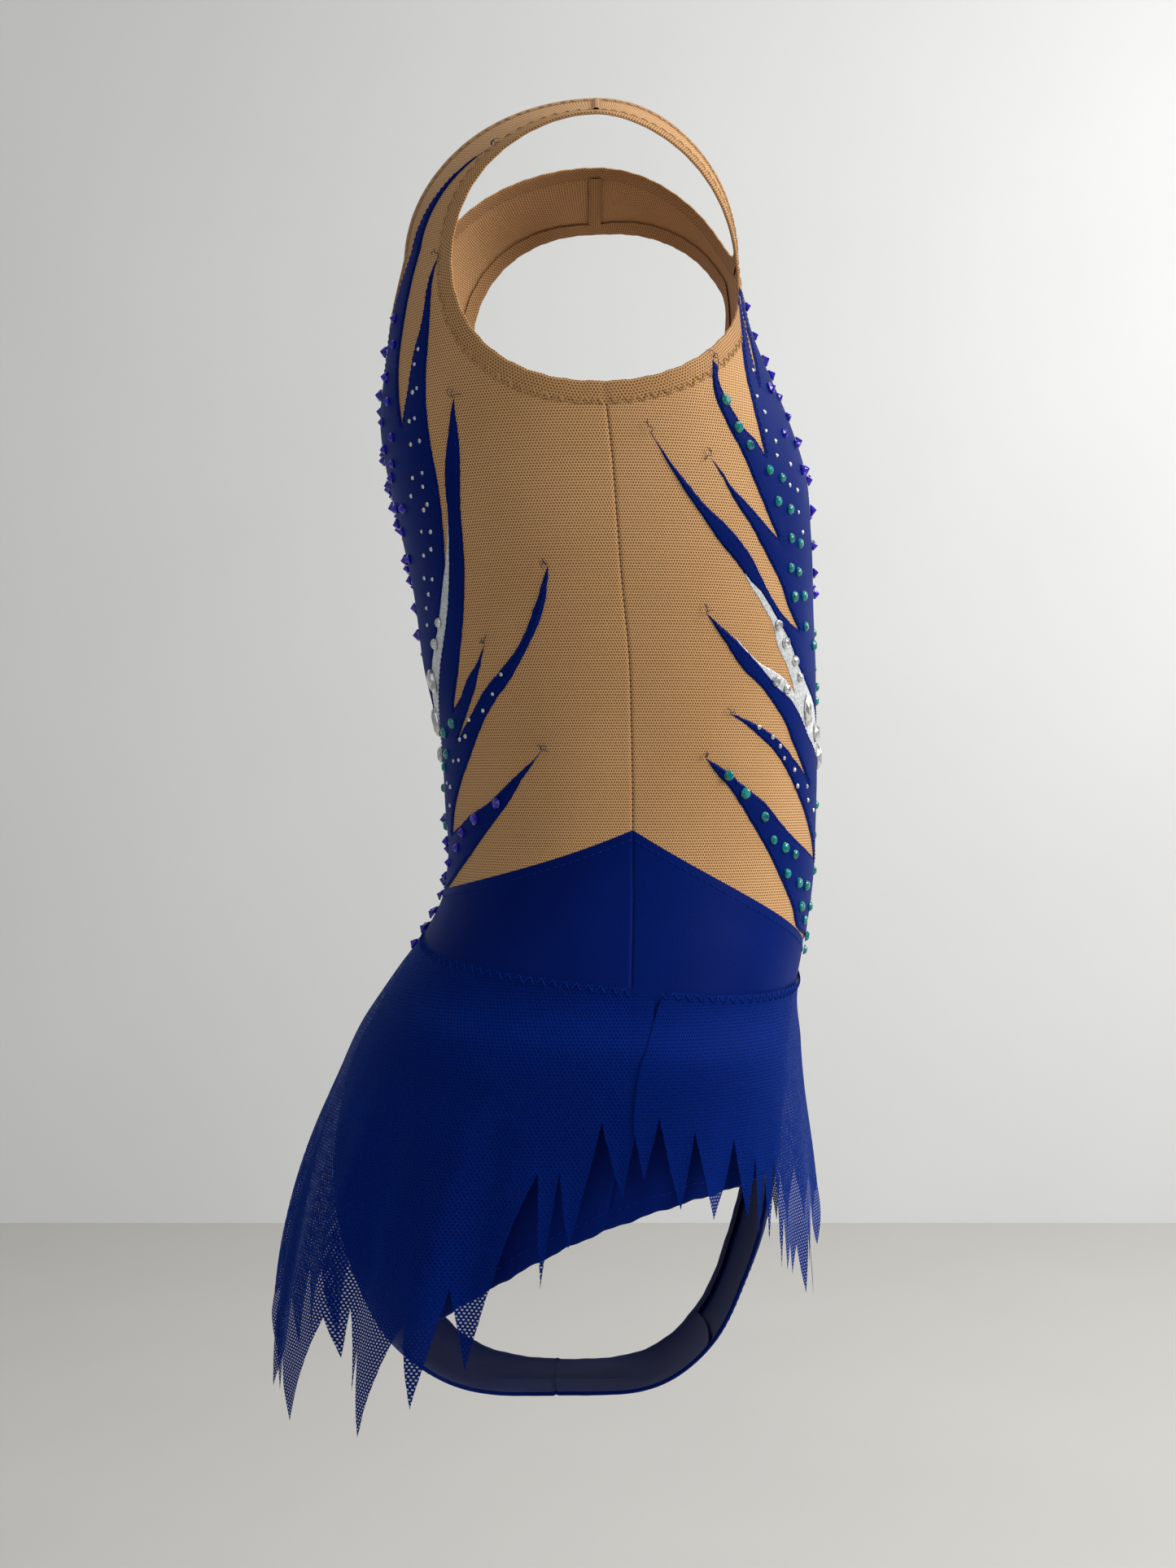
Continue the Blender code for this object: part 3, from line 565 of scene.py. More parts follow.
def strip(name, line, direction, profile, finish, closed=True, table=TORSO):
    """Cloth that follows a line, with a cross section of distances from the line and lifts."""
    points = np.concatenate([
        lay(walk(line, direction, distance * MM, table), np.full(len(line), lift * MM), table)
        for distance, lift in profile])
    count = len(line)
    i = np.arange(count if closed else count - 1)
    j = (i + 1) % count
    faces = []
    for k in range(len(profile) - 1):
        low, high = k * count, (k + 1) * count
        faces.append(np.stack([low + i, low + j, high + j, high + i], axis=1))
    at = point(table, line)
    gaps = np.linalg.norm(np.diff(at, axis=0, prepend=at[:1]), axis=1)
    along = np.cumsum(gaps)
    girth = np.concatenate([[0], np.cumsum([
        math.dist(p, q) for p, q in zip(profile[:-1], profile[1:])])]) * MM
    uv = np.stack([np.tile(along, len(profile)), np.repeat(girth, count)], axis=1)
    return mesh_piece(name, points, np.concatenate(faces), finish, uv)


# ---- threads

def tubes(name, paths, radius, finish, sides=5):
    """Threads as one piece. A path is its points and, at each, the normal of the cloth under it."""
    points, faces, first = [], [], 0
    turn = np.arange(sides) / sides * 2 * math.pi
    for at, up in paths:
        along = unit(np.gradient(at, axis=0))
        side = unit(np.cross(along, up))
        rise = np.cross(side, along)
        ring = at[:, None] + radius * (
            side[:, None] * np.cos(turn)[None, :, None] + rise[:, None] * np.sin(turn)[None, :, None])
        points.append(ring.reshape(-1, 3))
        count = len(at)
        for k in range(count - 1):
            low = first + k * sides
            for s in range(sides):
                t = (s + 1) % sides
                faces.append((low + s, low + t, low + sides + t, low + sides + s))
        faces.append(tuple(first + s for s in reversed(range(sides))))
        faces.append(tuple(first + (count - 1) * sides + s for s in range(sides)))
        first += count * sides
    return mesh_piece(name, np.concatenate(points), faces, finish)


def laid_paths(places, lifts, table=TORSO):
    """Threads that each run through a row of places, laid on the cloth in one go."""
    count, size = places.shape[:2]
    flat = places.reshape(-1, 3)
    at = lay(flat, np.tile(lifts, count), table).reshape(count, size, 3)
    up = normal(table, flat).reshape(count, size, 3)
    return list(zip(at, up))


def zigzag(line, direction, near, far, lift, pitch=2.4 * MM):
    """Stitches that run to and fro between two distances from a line, each one a raised bar."""
    knots = np.arange(0, len(line), max(int(round(pitch / EDGE_STEP)), 1))
    low, high = knots[:-1], knots[1:]
    odd = np.arange(len(low)) % 2 == 1
    start = walk(line[low], direction[low], np.where(odd, near, far))
    end = walk(line[high], direction[high], np.where(odd, far, near))
    same = start[:, 0] == end[:, 0]
    start, end = start[same, None], end[same, None]
    t = np.linspace(0, 1, 5)[None, :, None]
    return laid_paths(start + (end - start) * t, lift + np.array([-0.25, 0.12, 0.2, 0.12, -0.25]) * MM)


def dashes(places, lift, stitch, gap, closed=False):
    """A straight stitch along a line."""
    line = resampled(places, THREAD_STEP, closed)
    per, skip = int(round(stitch / THREAD_STEP)), int(round(gap / THREAD_STEP))
    starts = np.arange(0, len(line) - per, per + skip)
    if not len(starts):
        return []
    picked = line[starts[:, None] + np.linspace(0, per, 4).astype(int)]
    picked = picked[(picked[:, :, 0] == picked[:, :1, 0]).all(1)]
    return laid_paths(picked, lift + np.array([-0.2, 0.1, 0.1, -0.2]) * MM)


# ---- trimmings

def rounded(outline, step=1.3 * MM, sharp=50):
    """A smooth closed line through an outline's points, with its sharp tips and notches kept."""
    points = np.array([(a / 100 * GIRTH, level * MM) for a, level in outline])
    count = len(points)
    before, after = points - np.roll(points, 1, axis=0), np.roll(points, -1, axis=0) - points
    angle = np.degrees(np.abs(np.arctan2(
        before[:, 0] * after[:, 1] - before[:, 1] * after[:, 0], (before * after).sum(1))))
    corner = angle > sharp
    slope = (np.roll(points, -1, axis=0) - np.roll(points, 1, axis=0)) / 2
    made = []
    for i in range(count):
        j = (i + 1) % count
        chord = points[j] - points[i]
        size = np.linalg.norm(chord)
        start = chord if corner[i] else slope[i] / max(np.linalg.norm(slope[i]), 1e-9) * size
        end = chord if corner[j] else slope[j] / max(np.linalg.norm(slope[j]), 1e-9) * size
        t = np.arange(0, 1, 1 / max(int(round(size / step)), 1))[:, None]
        made.append(hermite(t, points[i], points[j], start, end))
    return np.concatenate(made)


def both_sides(outline):
    """A half outline and its mirror image, as one closed outline."""
    return outline + [(-a, level) for a, level in reversed(outline) if a > 0]


def segment_distance(points, line):
    """Distance of each point from a closed line."""
    start, end = line, np.roll(line, -1, axis=0)
    span = end - start
    size = np.maximum((span * span).sum(1), 1e-15)
    best = np.full(len(points), np.inf)
    for low in range(0, len(points), 2000):
        some = points[low: low + 2000, None] - start[None]
        t = np.clip((some * span[None]).sum(2) / size[None], 0, 1)
        best[low: low + 2000] = np.linalg.norm(some - t[..., None] * span[None], axis=2).min(1)
    return best


def is_inside(points, line):
    x, y = points.T
    odd = np.zeros(len(points), bool)
    for (x1, y1), (x2, y2) in zip(line, np.roll(line, -1, axis=0)):
        crosses = (y1 > y) != (y2 > y)
        odd ^= crosses & (x < x1 + (y - y1) / (y2 - y1 if y2 != y1 else 1) * (x2 - x1))
    return odd


def inset(line, distance):
    """Points at a distance inside a closed line, without those that crowd a narrow tip."""
    along = np.roll(line, -1, axis=0) - np.roll(line, 1, axis=0)
    along /= np.maximum(np.linalg.norm(along, axis=1, keepdims=True), TINY)
    across = np.stack([-along[:, 1], along[:, 0]], axis=1)
    area = (line[:, 0] * np.roll(line[:, 1], -1) - np.roll(line[:, 0], -1) * line[:, 1]).sum()
    points = line + across * distance * (1 if area > 0 else -1)
    good = is_inside(points, line)
    good &= segment_distance(points, line) > distance * 0.93
    return points, good


def cut_out(half, line, spacing, rings=()):
    """The flat cloth inside a closed line: its places, triangles and distances from its edge."""
    low, high = line.min(0), line.max(0)
    xs = np.arange(low[0], high[0], spacing)
    ys = np.arange(low[1], high[1], spacing * 0.87)
    grid = np.array([(x + (k % 2) * spacing / 2, y) for k, y in enumerate(ys) for x in xs])
    grid = grid[is_inside(grid, line)]
    clear = max(rings, default=0) + spacing * 0.55
    grid = grid[segment_distance(grid, line) > clear]
    points = [line]
    for distance in rings:
        some, good = inset(line, distance)
        points.append(some[good])
    points = np.concatenate(points + [grid])
    edges = [(i, (i + 1) % len(line)) for i in range(len(line))]
    made, _, faces, _, _, _ = delaunay_2d_cdt([tuple(p) for p in points], edges, [], 0, 1e-7)
    made = np.array([tuple(p) for p in made])
    faces = np.array([tuple(f) for f in faces])
    middle = made[faces].mean(1)
    faces = faces[is_inside(middle, line)]
    used, faces = np.unique(faces, return_inverse=True)
    made = made[used]
    return to_places(half, made), faces.reshape(-1, 3), segment_distance(made, line)


def ragged(line, amount, seed):
    """A cut edge that wanders a little."""
    random = np.random.default_rng(seed)
    noise = random.normal(size=line.shape)
    noise = (noise + np.roll(noise, 1, axis=0)) / 2
    return line + noise * amount


def to_places(half, points):
    return on_half(half, points[:, 0] / GIRTH, points[:, 1])


def trimming(name, half, outline, finish, lift, seed):
    line = ragged(rounded(both_sides(outline)), 0.12 * MM, seed)
    places, faces, edge = cut_out(half, line, 2.4 * MM, rings=(0.45 * MM, 1.1 * MM))
    lifts = RIM_LIFT + (lift - RIM_LIFT) * smooth(edge / (0.9 * MM)) ** 0.6
    lifts = lifts - 0.18 * MM * np.exp(-(((edge - 1.1 * MM) / (0.35 * MM)) ** 2))
    return cloth(name, places, faces, lifts, finish), line


def edge_stitches(half, line, distance, lift):
    """The straight stitching just inside a trimming's edge."""
    points, good = inset(line, distance)
    paths, start = [], 0
    while start < len(points):
        if not good[start]:
            start += 1
            continue
        end = start
        while (end + 1 < len(points) and good[end + 1]
               and np.linalg.norm(points[end + 1] - points[end]) < 3 * MM):
            end += 1
        if end - start >= 3:
            paths += dashes(to_places(half, points[start: end + 1]), lift, 2.0 * MM, 0.8 * MM)
        start = end + 1
    return paths


def loose_threads(half, tips, seed):
    """Curled thread ends at the tips of a trimming."""
    random = np.random.default_rng(seed)
    paths = []
    for across, level in tips:
        for side in (1, -1):
            for _ in range(3):
                start = np.array([half, side * across / 100, level * MM])
                heading, turn = random.uniform(0.2, 2.9), random.uniform(-900, 900)
                size, count = random.uniform(2.5, 5.0) * MM, 14
                t = np.arange(count) / (count - 1)
                angle = heading + np.cumsum(np.full(count, turn * size / count))
                steps = np.stack([np.cos(angle), np.sin(angle)], axis=1) * size / count
                flat = np.cumsum(steps, axis=0) * (side, 1)
                places = start + np.stack([0 * t, flat[:, 0] / GIRTH, flat[:, 1]], axis=1)
                paths += laid_paths(places[None], (0.9 + 1.0 * np.sin(t * 3.1)) * MM)
    return paths


# ---- stones

def ring_of(sides):
    turn = np.arange(sides) / sides * 2 * math.pi
    return np.stack([np.cos(turn) / 2, np.sin(turn) / 2], axis=1)


def level_ring(ring, size, z):
    return [(x * size, y * size, z) for x, y in ring]


def cone_shape(sides=8):
    """A pointed stone: a short girdle and long facets to its apex."""
    ring = ring_of(sides)
    points = level_ring(ring, 1, 0) + level_ring(ring, 1, 0.16)
    points += level_ring(ring @ rotation(180 / sides), 0.5, 0.36) + [(0, 0, 0.56)]
    faces = []
    for i in range(sides):
        j = (i + 1) % sides
        faces += [(i, j, sides + j, sides + i)]
        faces += [(sides + i, sides + j, 2 * sides + i)]
        faces += [(sides + j, 2 * sides + j, 2 * sides + i)]
        faces += [(2 * sides + i, 2 * sides + j, 3 * sides)]
    return np.array(points), faces


def round_shape(sides=12):
    """A flat-backed round stone: crown facets about a table."""
    ring = ring_of(sides)
    points = level_ring(ring, 1, 0) + level_ring(ring, 1, 0.1)
    points += level_ring(ring @ rotation(180 / sides), 0.78, 0.26) + level_ring(ring, 0.5, 0.36)
    faces = [tuple(3 * sides + i for i in range(sides))]
    for i in range(sides):
        j = (i + 1) % sides
        faces += [(i, j, sides + j, sides + i)]
        faces += [(sides + i, sides + j, 2 * sides + i), (sides + j, 2 * sides + j, 2 * sides + i)]
        faces += [(2 * sides + i, 2 * sides + j, 3 * sides + j)]
        faces += [(2 * sides + i, 3 * sides + j, 3 * sides + i)]
    return np.array(points), faces


def rotation(degrees):
    c, s = math.cos(math.radians(degrees)), math.sin(math.radians(degrees))
    return np.array([[c, s], [-s, c]])


def stones(name, shape, places, sizes, finish, seed, lift=STONE_LIFT):
    """Many stones of one cut as one piece, each a little turned and tilted as hand-set stones are."""
    random = np.random.default_rng(seed)
    points, faces = shape
    at, up = lay(places, lift), normal(TORSO, places)
    high = unit(tangents(TORSO, places)[1])
    wide = unit(np.cross(high, up))
    high = np.cross(up, wide)
    all_points, all_faces, facets = [], [], []
    for k in range(len(places)):
        turn, size = random.uniform(-0.35, 0.35), np.array(sizes[k])
        c, s = math.cos(turn), math.sin(turn)
        tilt = random.normal(0, 0.06, 2)
        tall = up[k] + tilt[0] * wide[k] + tilt[1] * high[k]
        local = points * size
        if size[0] == size[1]:
            local = local @ np.array([[c, s, 0], [-s, c, 0], [0, 0, 1]])
        all_points.append(at[k] + local[:, :1] * wide[k] + local[:, 1:2] * high[k] + local[:, 2:] * tall)
        all_faces += [tuple(v + k * len(points) for v in f) for f in faces]
        facets.append(random.uniform(0, 1, len(faces)))
    return mesh_piece(name, np.concatenate(all_points), all_faces, finish,
                      facet=np.concatenate(facets), flat=True)


def spread(half, listed, rows, seed, jitter=1.0):
    """The listed stones on both sides of the centre line, and rows of them on the centre line."""
    random = np.random.default_rng(seed)
    places = []
    for across, level in listed:
        for side in (1, -1):
            shift = random.normal(0, 0.25, 2) if side < 0 else (0, 0)
            places.append((half, side * (across + shift[0]) / 100, (level + shift[1]) * MM))
    for low, high, step in rows:
        for n, level in enumerate(np.arange(low, high, -step)):
            for across in ((0.0,) if n % 2 else (-5.5, 5.5)):
                shift = random.normal(0, 0.5, 2) * jitter
                places.append((half, (across + shift[0]) / 100, (level + shift[1]) * MM))
    return np.array(places)


# ---- materials

class Nodes:
    """A material's nodes, with short calls for the ones used here."""

    def __init__(self, name):
        self.material = bpy.data.materials.new(name)
        self.material.use_nodes = True
        self.tree = self.material.node_tree
        self.shader = self.tree.nodes["Principled BSDF"]

    def add(self, kind, inputs=(), **settings):
        node = self.tree.nodes.new(kind)
        for key, value in settings.items():
            setattr(node, key, value)
        for key, value in dict(inputs).items():
            if isinstance(value, bpy.types.NodeSocket):
                self.tree.links.new(value, node.inputs[key])
            else:
                node.inputs[key].default_value = value
        return node

    def math(self, operation, a, b=0.0, **more):
        return self.add("ShaderNodeMath", {0: a, 1: b}, operation=operation, **more).outputs[0]

    def vector(self, operation, a, b=(0, 0, 0)):
        node = self.add("ShaderNodeVectorMath", {0: a, 1: b}, operation=operation)
        return node.outputs["Value" if operation == "LENGTH" else "Vector"]

    def mix(self, factor, a, b):
        node = self.add("ShaderNodeMix", {0: factor, 6: a, 7: b}, data_type="RGBA")
        return node.outputs[2]

    def scaled(self, value, low, high, to_low=0.0, to_high=1.0):
        inputs = {1: low, 2: high, 3: to_low, 4: to_high, 0: value}
        return self.add("ShaderNodeMapRange", inputs).outputs[0]

    def pattern(self):
        return self.add("ShaderNodeUVMap", uv_map="pattern").outputs[0]

    def place(self):
        return self.add("ShaderNodeTexCoord").outputs["Object"]

    def noise(self, at, scale, detail=2.0):
        return self.add("ShaderNodeTexNoise", {"Vector": at, "Scale": scale, "Detail": detail}).outputs[0]

    def holes(self, at, pitch, size, soft):
        """The holes of a knitted net, in staggered rows: 1 in a hole and 0 on the threads."""
        grid = (1 / pitch, 1 / (pitch * 1.732), 0)
        base = self.vector("MULTIPLY", at, grid)
        found = []
        for shift in (0.0, 0.5):
            cell = self.vector("ADD", base, (shift, shift, 0))
            cell = self.vector("SUBTRACT", self.vector("FRACTION", cell), (0.5, 0.5, 0))
            cell = self.vector("MULTIPLY", cell, (1, 1.732, 0))
            found.append(self.vector("LENGTH", cell))
        near = self.math("MINIMUM", found[0], found[1])
        return self.scaled(near, size + soft, size - soft)

    def cloud(self, at, scale, detail=2.0, low=0.3, high=0.7):
        """Noise that is spread over 0 to 1."""
        return self.scaled(self.noise(at, scale, detail), low, high)

    def color(self, factor, a, b):
        self.link(self.mix(factor, a, b), "Base Color")

    def rough(self, value, low, high):
        self.link(self.scaled(value, 0, 1, low, high), "Roughness")

    def bump(self, height, distance, strength=1.0):
        node = self.add("ShaderNodeBump", {"Height": height, "Distance": distance, "Strength": strength})
        self.link(node.outputs[0], "Normal")

    def link(self, socket, name):
        self.tree.links.new(socket, self.shader.inputs[name])

    def set(self, **values):
        for key, value in values.items():
            self.shader.inputs[key.replace("_", " ")].default_value = value


def dimmed(color, share):
    return (*[c * share for c in color[:3]], 1)


def power_mesh_material(name, light, dark, deep_shade):
    m = Nodes(name)
    at, place = m.pattern(), m.place()
    hole = m.holes(at, 1.3 * MM, 0.30, 0.09)
    broad = m.cloud(place, 14.0, 3.0)
    fine = m.cloud(place, 900.0)
    threads = m.mix(broad, light, dark)
    threads = m.mix(m.math("MULTIPLY", fine, 0.25), threads, dimmed(light, 0.7))
    # The holes are painted in a dark colour: painted shade of the hollow behind each hole, because the net
    # itself is drawn opaque.
    m.color(m.math("MULTIPLY", hole, 0.95), threads, deep_shade)
    m.rough(hole, 0.62, 0.9)
    m.bump(m.math("ADD", m.math("MULTIPLY", hole, -1.0), m.math("MULTIPLY", fine, 0.3)), 0.25 * MM, 0.7)
    m.set(Sheen_Weight=0.05, Sheen_Roughness=0.5, Specular_IOR_Level=0.12)
    return m.material


def lycra_material(name, light, dark):
    m = Nodes(name)
    at, place = m.pattern(), m.place()
    wave = m.add("ShaderNodeTexWave", {"Vector": at, "Scale": 500.0, "Distortion": 0.6, "Detail": 1.0})
    rib = wave.outputs[1]
    broad = m.cloud(place, 18.0, 3.0)
    fine = m.cloud(place, 1600.0)
    base = m.mix(broad, light, dark)
    m.color(m.math("MULTIPLY", fine, 0.3), base, dimmed(dark, 0.55))
    m.rough(broad, 0.5, 0.6)
    m.bump(m.math("ADD", m.math("MULTIPLY", rib, 0.5), fine), 0.06 * MM, 0.6)
    m.set(Sheen_Weight=0.12, Sheen_Roughness=0.45, Specular_IOR_Level=0.04,
          Sheen_Tint=(0.0, 0.14, 1.0, 1))
    return m.material


def stretch_mesh_material(name):
    m = Nodes(name)
    at, place = m.pattern(), m.place()
    hole = m.holes(at, 1.45 * MM, 0.25, 0.08)
    broad = m.cloud(place, 16.0, 3.0)
    fine = m.cloud(place, 1200.0)
    threads = m.mix(broad, (0.0, 0.011, 0.150, 1), (0.0, 0.007, 0.110, 1))
    m.color(m.math("MULTIPLY", fine, 0.35), threads, (0.0, 0.030, 0.27, 1))
    m.link(m.scaled(hole, 0, 1, 1.0, 0.48), "Alpha")
    m.rough(fine, 0.6, 0.8)
    m.bump(m.math("SUBTRACT", fine, hole), 0.2 * MM, 0.7)
    m.set(Sheen_Weight=0.22, Sheen_Roughness=0.45, Specular_IOR_Level=0.04,
          Sheen_Tint=(0.0, 0.18, 1.0, 1))
    return m.material


def glitter_material(name):
    m = Nodes(name)
    place = m.place()
    flake = m.add("ShaderNodeTexVoronoi", {"Vector": place, "Scale": 1500.0})
    shade = m.add("ShaderNodeSeparateColor", {0: flake.outputs["Color"]})
    # Flakes are painted a random grey, and some white as glints: painted sparkle of flakes catching the
    # light, over the cloth's own silver grey. Metallic is raised on the glints.
    glint = m.scaled(shade.outputs[0], 0.75, 1.0)
    base = m.mix(shade.outputs[1], (0.50, 0.52, 0.54, 1), (0.86, 0.87, 0.88, 1))
    m.color(glint, base, (1.0, 1.0, 1.0, 1))
    m.rough(shade.outputs[2], 0.15, 0.55)
    m.link(m.scaled(glint, 0, 1, 0.15, 0.8), "Metallic")
    m.bump(shade.outputs[1], 0.3 * MM, 1.0)
    return m.material


def gem_material(name, deep_shade, lit_facet, roughness=0.06, metallic=0.0, coat=0.35):
    m = Nodes(name)
    facet = m.add("ShaderNodeAttribute", attribute_name="facet").outputs["Fac"]
    cloud = m.cloud(m.place(), 700.0, low=0.35, high=0.65)
    # Each facet is painted at random between the darker and the lighter colour: painted reflection and shade
    # of facets that catch the light or miss it, over the sapphire's and teal's own colour.
    painted_facet_light = m.math("ADD", m.math("MULTIPLY", facet, 0.8), m.math("MULTIPLY", cloud, 0.2))
    m.color(painted_facet_light, deep_shade, lit_facet)
    m.rough(cloud, roughness, roughness + 0.05)
    m.set(Metallic=metallic, Coat_Weight=coat, Coat_Roughness=0.03, Specular_IOR_Level=0.5)
    return m.material


def thread_material(name, light, dark):
    m = Nodes(name)
    twist = m.cloud(m.place(), 2500.0, low=0.35, high=0.65)
    m.color(twist, light, dark)
    m.rough(twist, 0.45, 0.7)
    m.bump(twist, 0.05 * MM, 0.6)
    m.set(Specular_IOR_Level=0.08)
    return m.material


# The third colour of each nude net is the painted shade in its holes.
NUDE = power_mesh_material(
    "nude_power_mesh", (0.82, 0.475, 0.22, 1), (0.71, 0.395, 0.17, 1), (0.18, 0.075, 0.022, 1))
NUDE_EDGE = power_mesh_material(
    "nude_power_mesh_double", (0.68, 0.38, 0.165, 1), (0.58, 0.31, 0.125, 1), (0.15, 0.06, 0.02, 1))
LYCRA = lycra_material("royal_blue_lycra", (0.0, 0.012, 0.150, 1), (0.0, 0.008, 0.115, 1))
STRETCH_MESH = stretch_mesh_material("royal_blue_stretch_mesh")
GLITTER = glitter_material("silver_glitter_cloth")
# The lighter colour of each stone is painted facet light. The darker one is painted facet shade, and for the
# sapphire and teal it is also their own colour.
SAPPHIRE = gem_material("sapphire_stone", (0.003, 0.0, 0.09, 1), (0.03, 0.004, 0.70, 1))
TEAL = gem_material("teal_stone", (0.0, 0.07, 0.075, 1), (0.0, 0.36, 0.34, 1))
CLEAR = gem_material("clear_stone", (0.32, 0.32, 0.32, 1), (1.0, 1.0, 1.0, 1), 0.04, 0.55, 1.0)
NUDE_THREAD = thread_material("nude_thread", (0.62, 0.38, 0.17, 1), (0.40, 0.22, 0.09, 1))
BLUE_THREAD = thread_material("blue_thread", (0.0, 0.035, 0.34, 1), (0.0, 0.010, 0.12, 1))
DARK_THREAD = thread_material("dark_blue_thread", (0.0, 0.01, 0.12, 1), (0.0, 0.003, 0.04, 1))


# ---- the garment

def declare(piece, nodes, held, rests_on=(), body="root"):
    """Ride and replaced nodes of a cloth piece, and the way it is held and what it rests on, kept in SHEETS.
    """
    if body:
        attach(piece, body)
    if nodes:
        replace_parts(piece, *nodes)
    SHEETS.append((piece, held, list(rests_on)))
    return piece


def sheets():
    """Runs through every sheet but the seam pieces sewn to another, and does nothing more with them."""
    sewn = [name for names in SEWN_ON.values() for name in names]
    for piece, held, rests_on in SHEETS:
        if piece.name in sewn:
            continue


def side_columns():
    """Columns across one half that crowd towards the side seam."""
    close = 1 - np.array([0, 0.5, 1.0, 1.6, 2.4, 3.6, 5.2, 7.2, 9.6]) * MM / GIRTH
    one = np.concatenate([np.arange(0, 0.935, 0.0165), close[::-1]])
    return np.concatenate([-one[:0:-1], one])


def cut_half(half, low, high, *rules):
    """The cloth of one half between two levels, cut by each rule in turn."""
    levels = np.arange(low, high, CLOTH_STEP)
    levels = np.where(levels > CREST_LEVEL - 1.5 * MM, CREST_LEVEL, levels)
    places, faces = lattice(half, side_columns(), levels)
    for keep in rules:
        places, faces = clip(places, faces, keep)
    return places, faces


def bodice():
    for half in (FRONT, BACK):
        places, faces = cut_half(
            half, -0.36, CREST_LEVEL + 1e-9, lambda p: p[:, 2] - brief_top(p) + 4 * MM,
            lambda p: distance_from(neck_value, p) - 3 * MM,
            lambda p: distance_from(arm_value, p) - 3 * MM)
        piece = cloth(f"bodice_{WORD[half]}_cloth", places, faces, 0.0, NUDE)
        declare(piece, [f"bodice_{WORD[half]}"], "stretched")


def brief():
    for half in (FRONT, BACK):
        places, faces = cut_half(
            half, -0.62, -0.29, lambda p: brief_top(p) - p[:, 2],
            lambda p: distance_from(leg_value, p) - 2.5 * MM)
        rise = 0.12 * MM + 0.25 * MM * smooth((brief_top(places) - places[:, 2]) / (3 * MM))
        piece = cloth(f"brief_{WORD[half]}_cloth", places, faces, rise, LYCRA)
        declare(piece, [f"brief_{WORD[half]}"], "stretched")
    places, faces = joined([cut_half(
        half, -0.62, -0.54, lambda p: GUSSET_TOP - p[:, 2],
        lambda p: distance_from(leg_value, p) - 6 * MM) for half in (FRONT, BACK)])
    gusset = cloth("gusset_lining_cloth", places, faces, LINING_LIFT, LYCRA)
    declare(gusset, ["gusset_lining"], "stretched")


# Cross sections of the turned edges and seams: distance into the cloth and lift, in millimetres.
FOLD = ((9, 0.1), (6, 0.32), (1.2, 0.45), (0.35, 0.38), (-0.1, 0.0), (-0.15, -0.4), (0.35, -0.8),
        (1.2, -0.95), (5, -0.9), (8.4, -0.75))
HEM_FOLD = ((7.5, 0.3), (5, 0.62), (1.2, 0.72), (0.3, 0.6), (-0.15, 0.1), (-0.15, -0.4), (0.35, -0.9),
            (1.2, -1.05), (4, -1.0), (7, -0.9))
SEAM_TAPE = ((-3, -0.85), (-2.6, -1.0), (0, -1.1), (2.6, -1.0), (3, -0.85))
SHOULDER_TAPE = ((-3, -1.0), (-2.6, -1.35), (0, -1.5), (2.6, -1.35), (3, -1.0))
SHOULDER_RIDGE = ((-1.6, 0.25), (-0.8, 0.9), (0, 1.15), (0.8, 0.9), (1.6, 0.25))


def wavy(line, direction, amount, count):
    """An edge that is drawn up a little by its stitching."""
    turn = np.arange(len(line)) / len(line) * 2 * math.pi
    shift = amount * (np.sin(turn * count) + 0.5 * np.sin(turn * count * 2.3 + 1))
    return walk(line, direction, shift)


def folded(name, line, direction, profile, finish, nodes, closed=True):
    """A turned edge or a seam: narrow cloth along a line."""
    piece = strip(name, line, direction, profile, finish, closed=closed)
    declare(piece, nodes, "folded")


def openings():
    nude, blue = [], []
    neck = opening(neck_value, -0.11, CREST_LEVEL, True)
    neck = wavy(neck, inward(neck, neck_value), 0.18 * MM, 60)
    inner = inward(neck, neck_value)
    folded("neck_binding_fold", neck, inner, FOLD, NUDE_EDGE, ["neck_binding"])
    nude += zigzag(neck, inner, 6.2 * MM, 8.6 * MM, 0.3 * MM)
    arm = opening(arm_value, -0.14, CREST_LEVEL, False)
    leg = opening(leg_value, -0.62, -0.43, False)
    for side, sign in SIDES:
        for name, edge, value, size, count, profile, finish in (
                ("armhole_binding", arm, arm_value, 0.15 * MM, 40, FOLD, NUDE_EDGE),
                ("leg_hem", leg, leg_value, 0.3 * MM, 26, HEM_FOLD, LYCRA)):
            line = edge if sign > 0 else mirrored(edge)
            inner = inward(line, value)
            line = wavy(line, inner, size, count)
            folded(f"{name}_fold_{side}", line, inner, profile, finish, [f"{name}_{side}"])
            if finish == LYCRA:
                blue += dashes(walk(line, inner, 6.2 * MM), 0.45 * MM, 2.2 * MM, 1.1 * MM, closed=True)
            else:
                nude += zigzag(line, inner, 6.0 * MM, 9.2 * MM, 0.3 * MM)
    return nude, blue


def side_seams():
    for side, sign in SIDES:
        for name, low, high, finish in (
                ("side_seam", -0.297, -0.1305, NUDE_EDGE), ("brief_seam", -0.444, -0.302, LYCRA)):
            line = on_half(FRONT, sign, np.arange(low, high, 2 * MM))
            folded(f"{name}_allowance_{side}", line, across_line(line), SEAM_TAPE, finish,
                   [f"{name}_{side}"], closed=False)


def shoulder_seams():
    for side, sign in SIDES:
        line = on_half(FRONT, sign * np.linspace(0.345, 0.6, 24), CREST_LEVEL)
        forward = np.tile((0.0, -1.0, 0.0), (len(line), 1))
        for word, profile, nodes in (
                ("tape", SHOULDER_TAPE, [f"shoulder_seam_{side}"]), ("ridge", SHOULDER_RIDGE, [])):
            folded(f"shoulder_seam_{word}_{side}", line, forward, profile, NUDE_EDGE, nodes, closed=False)


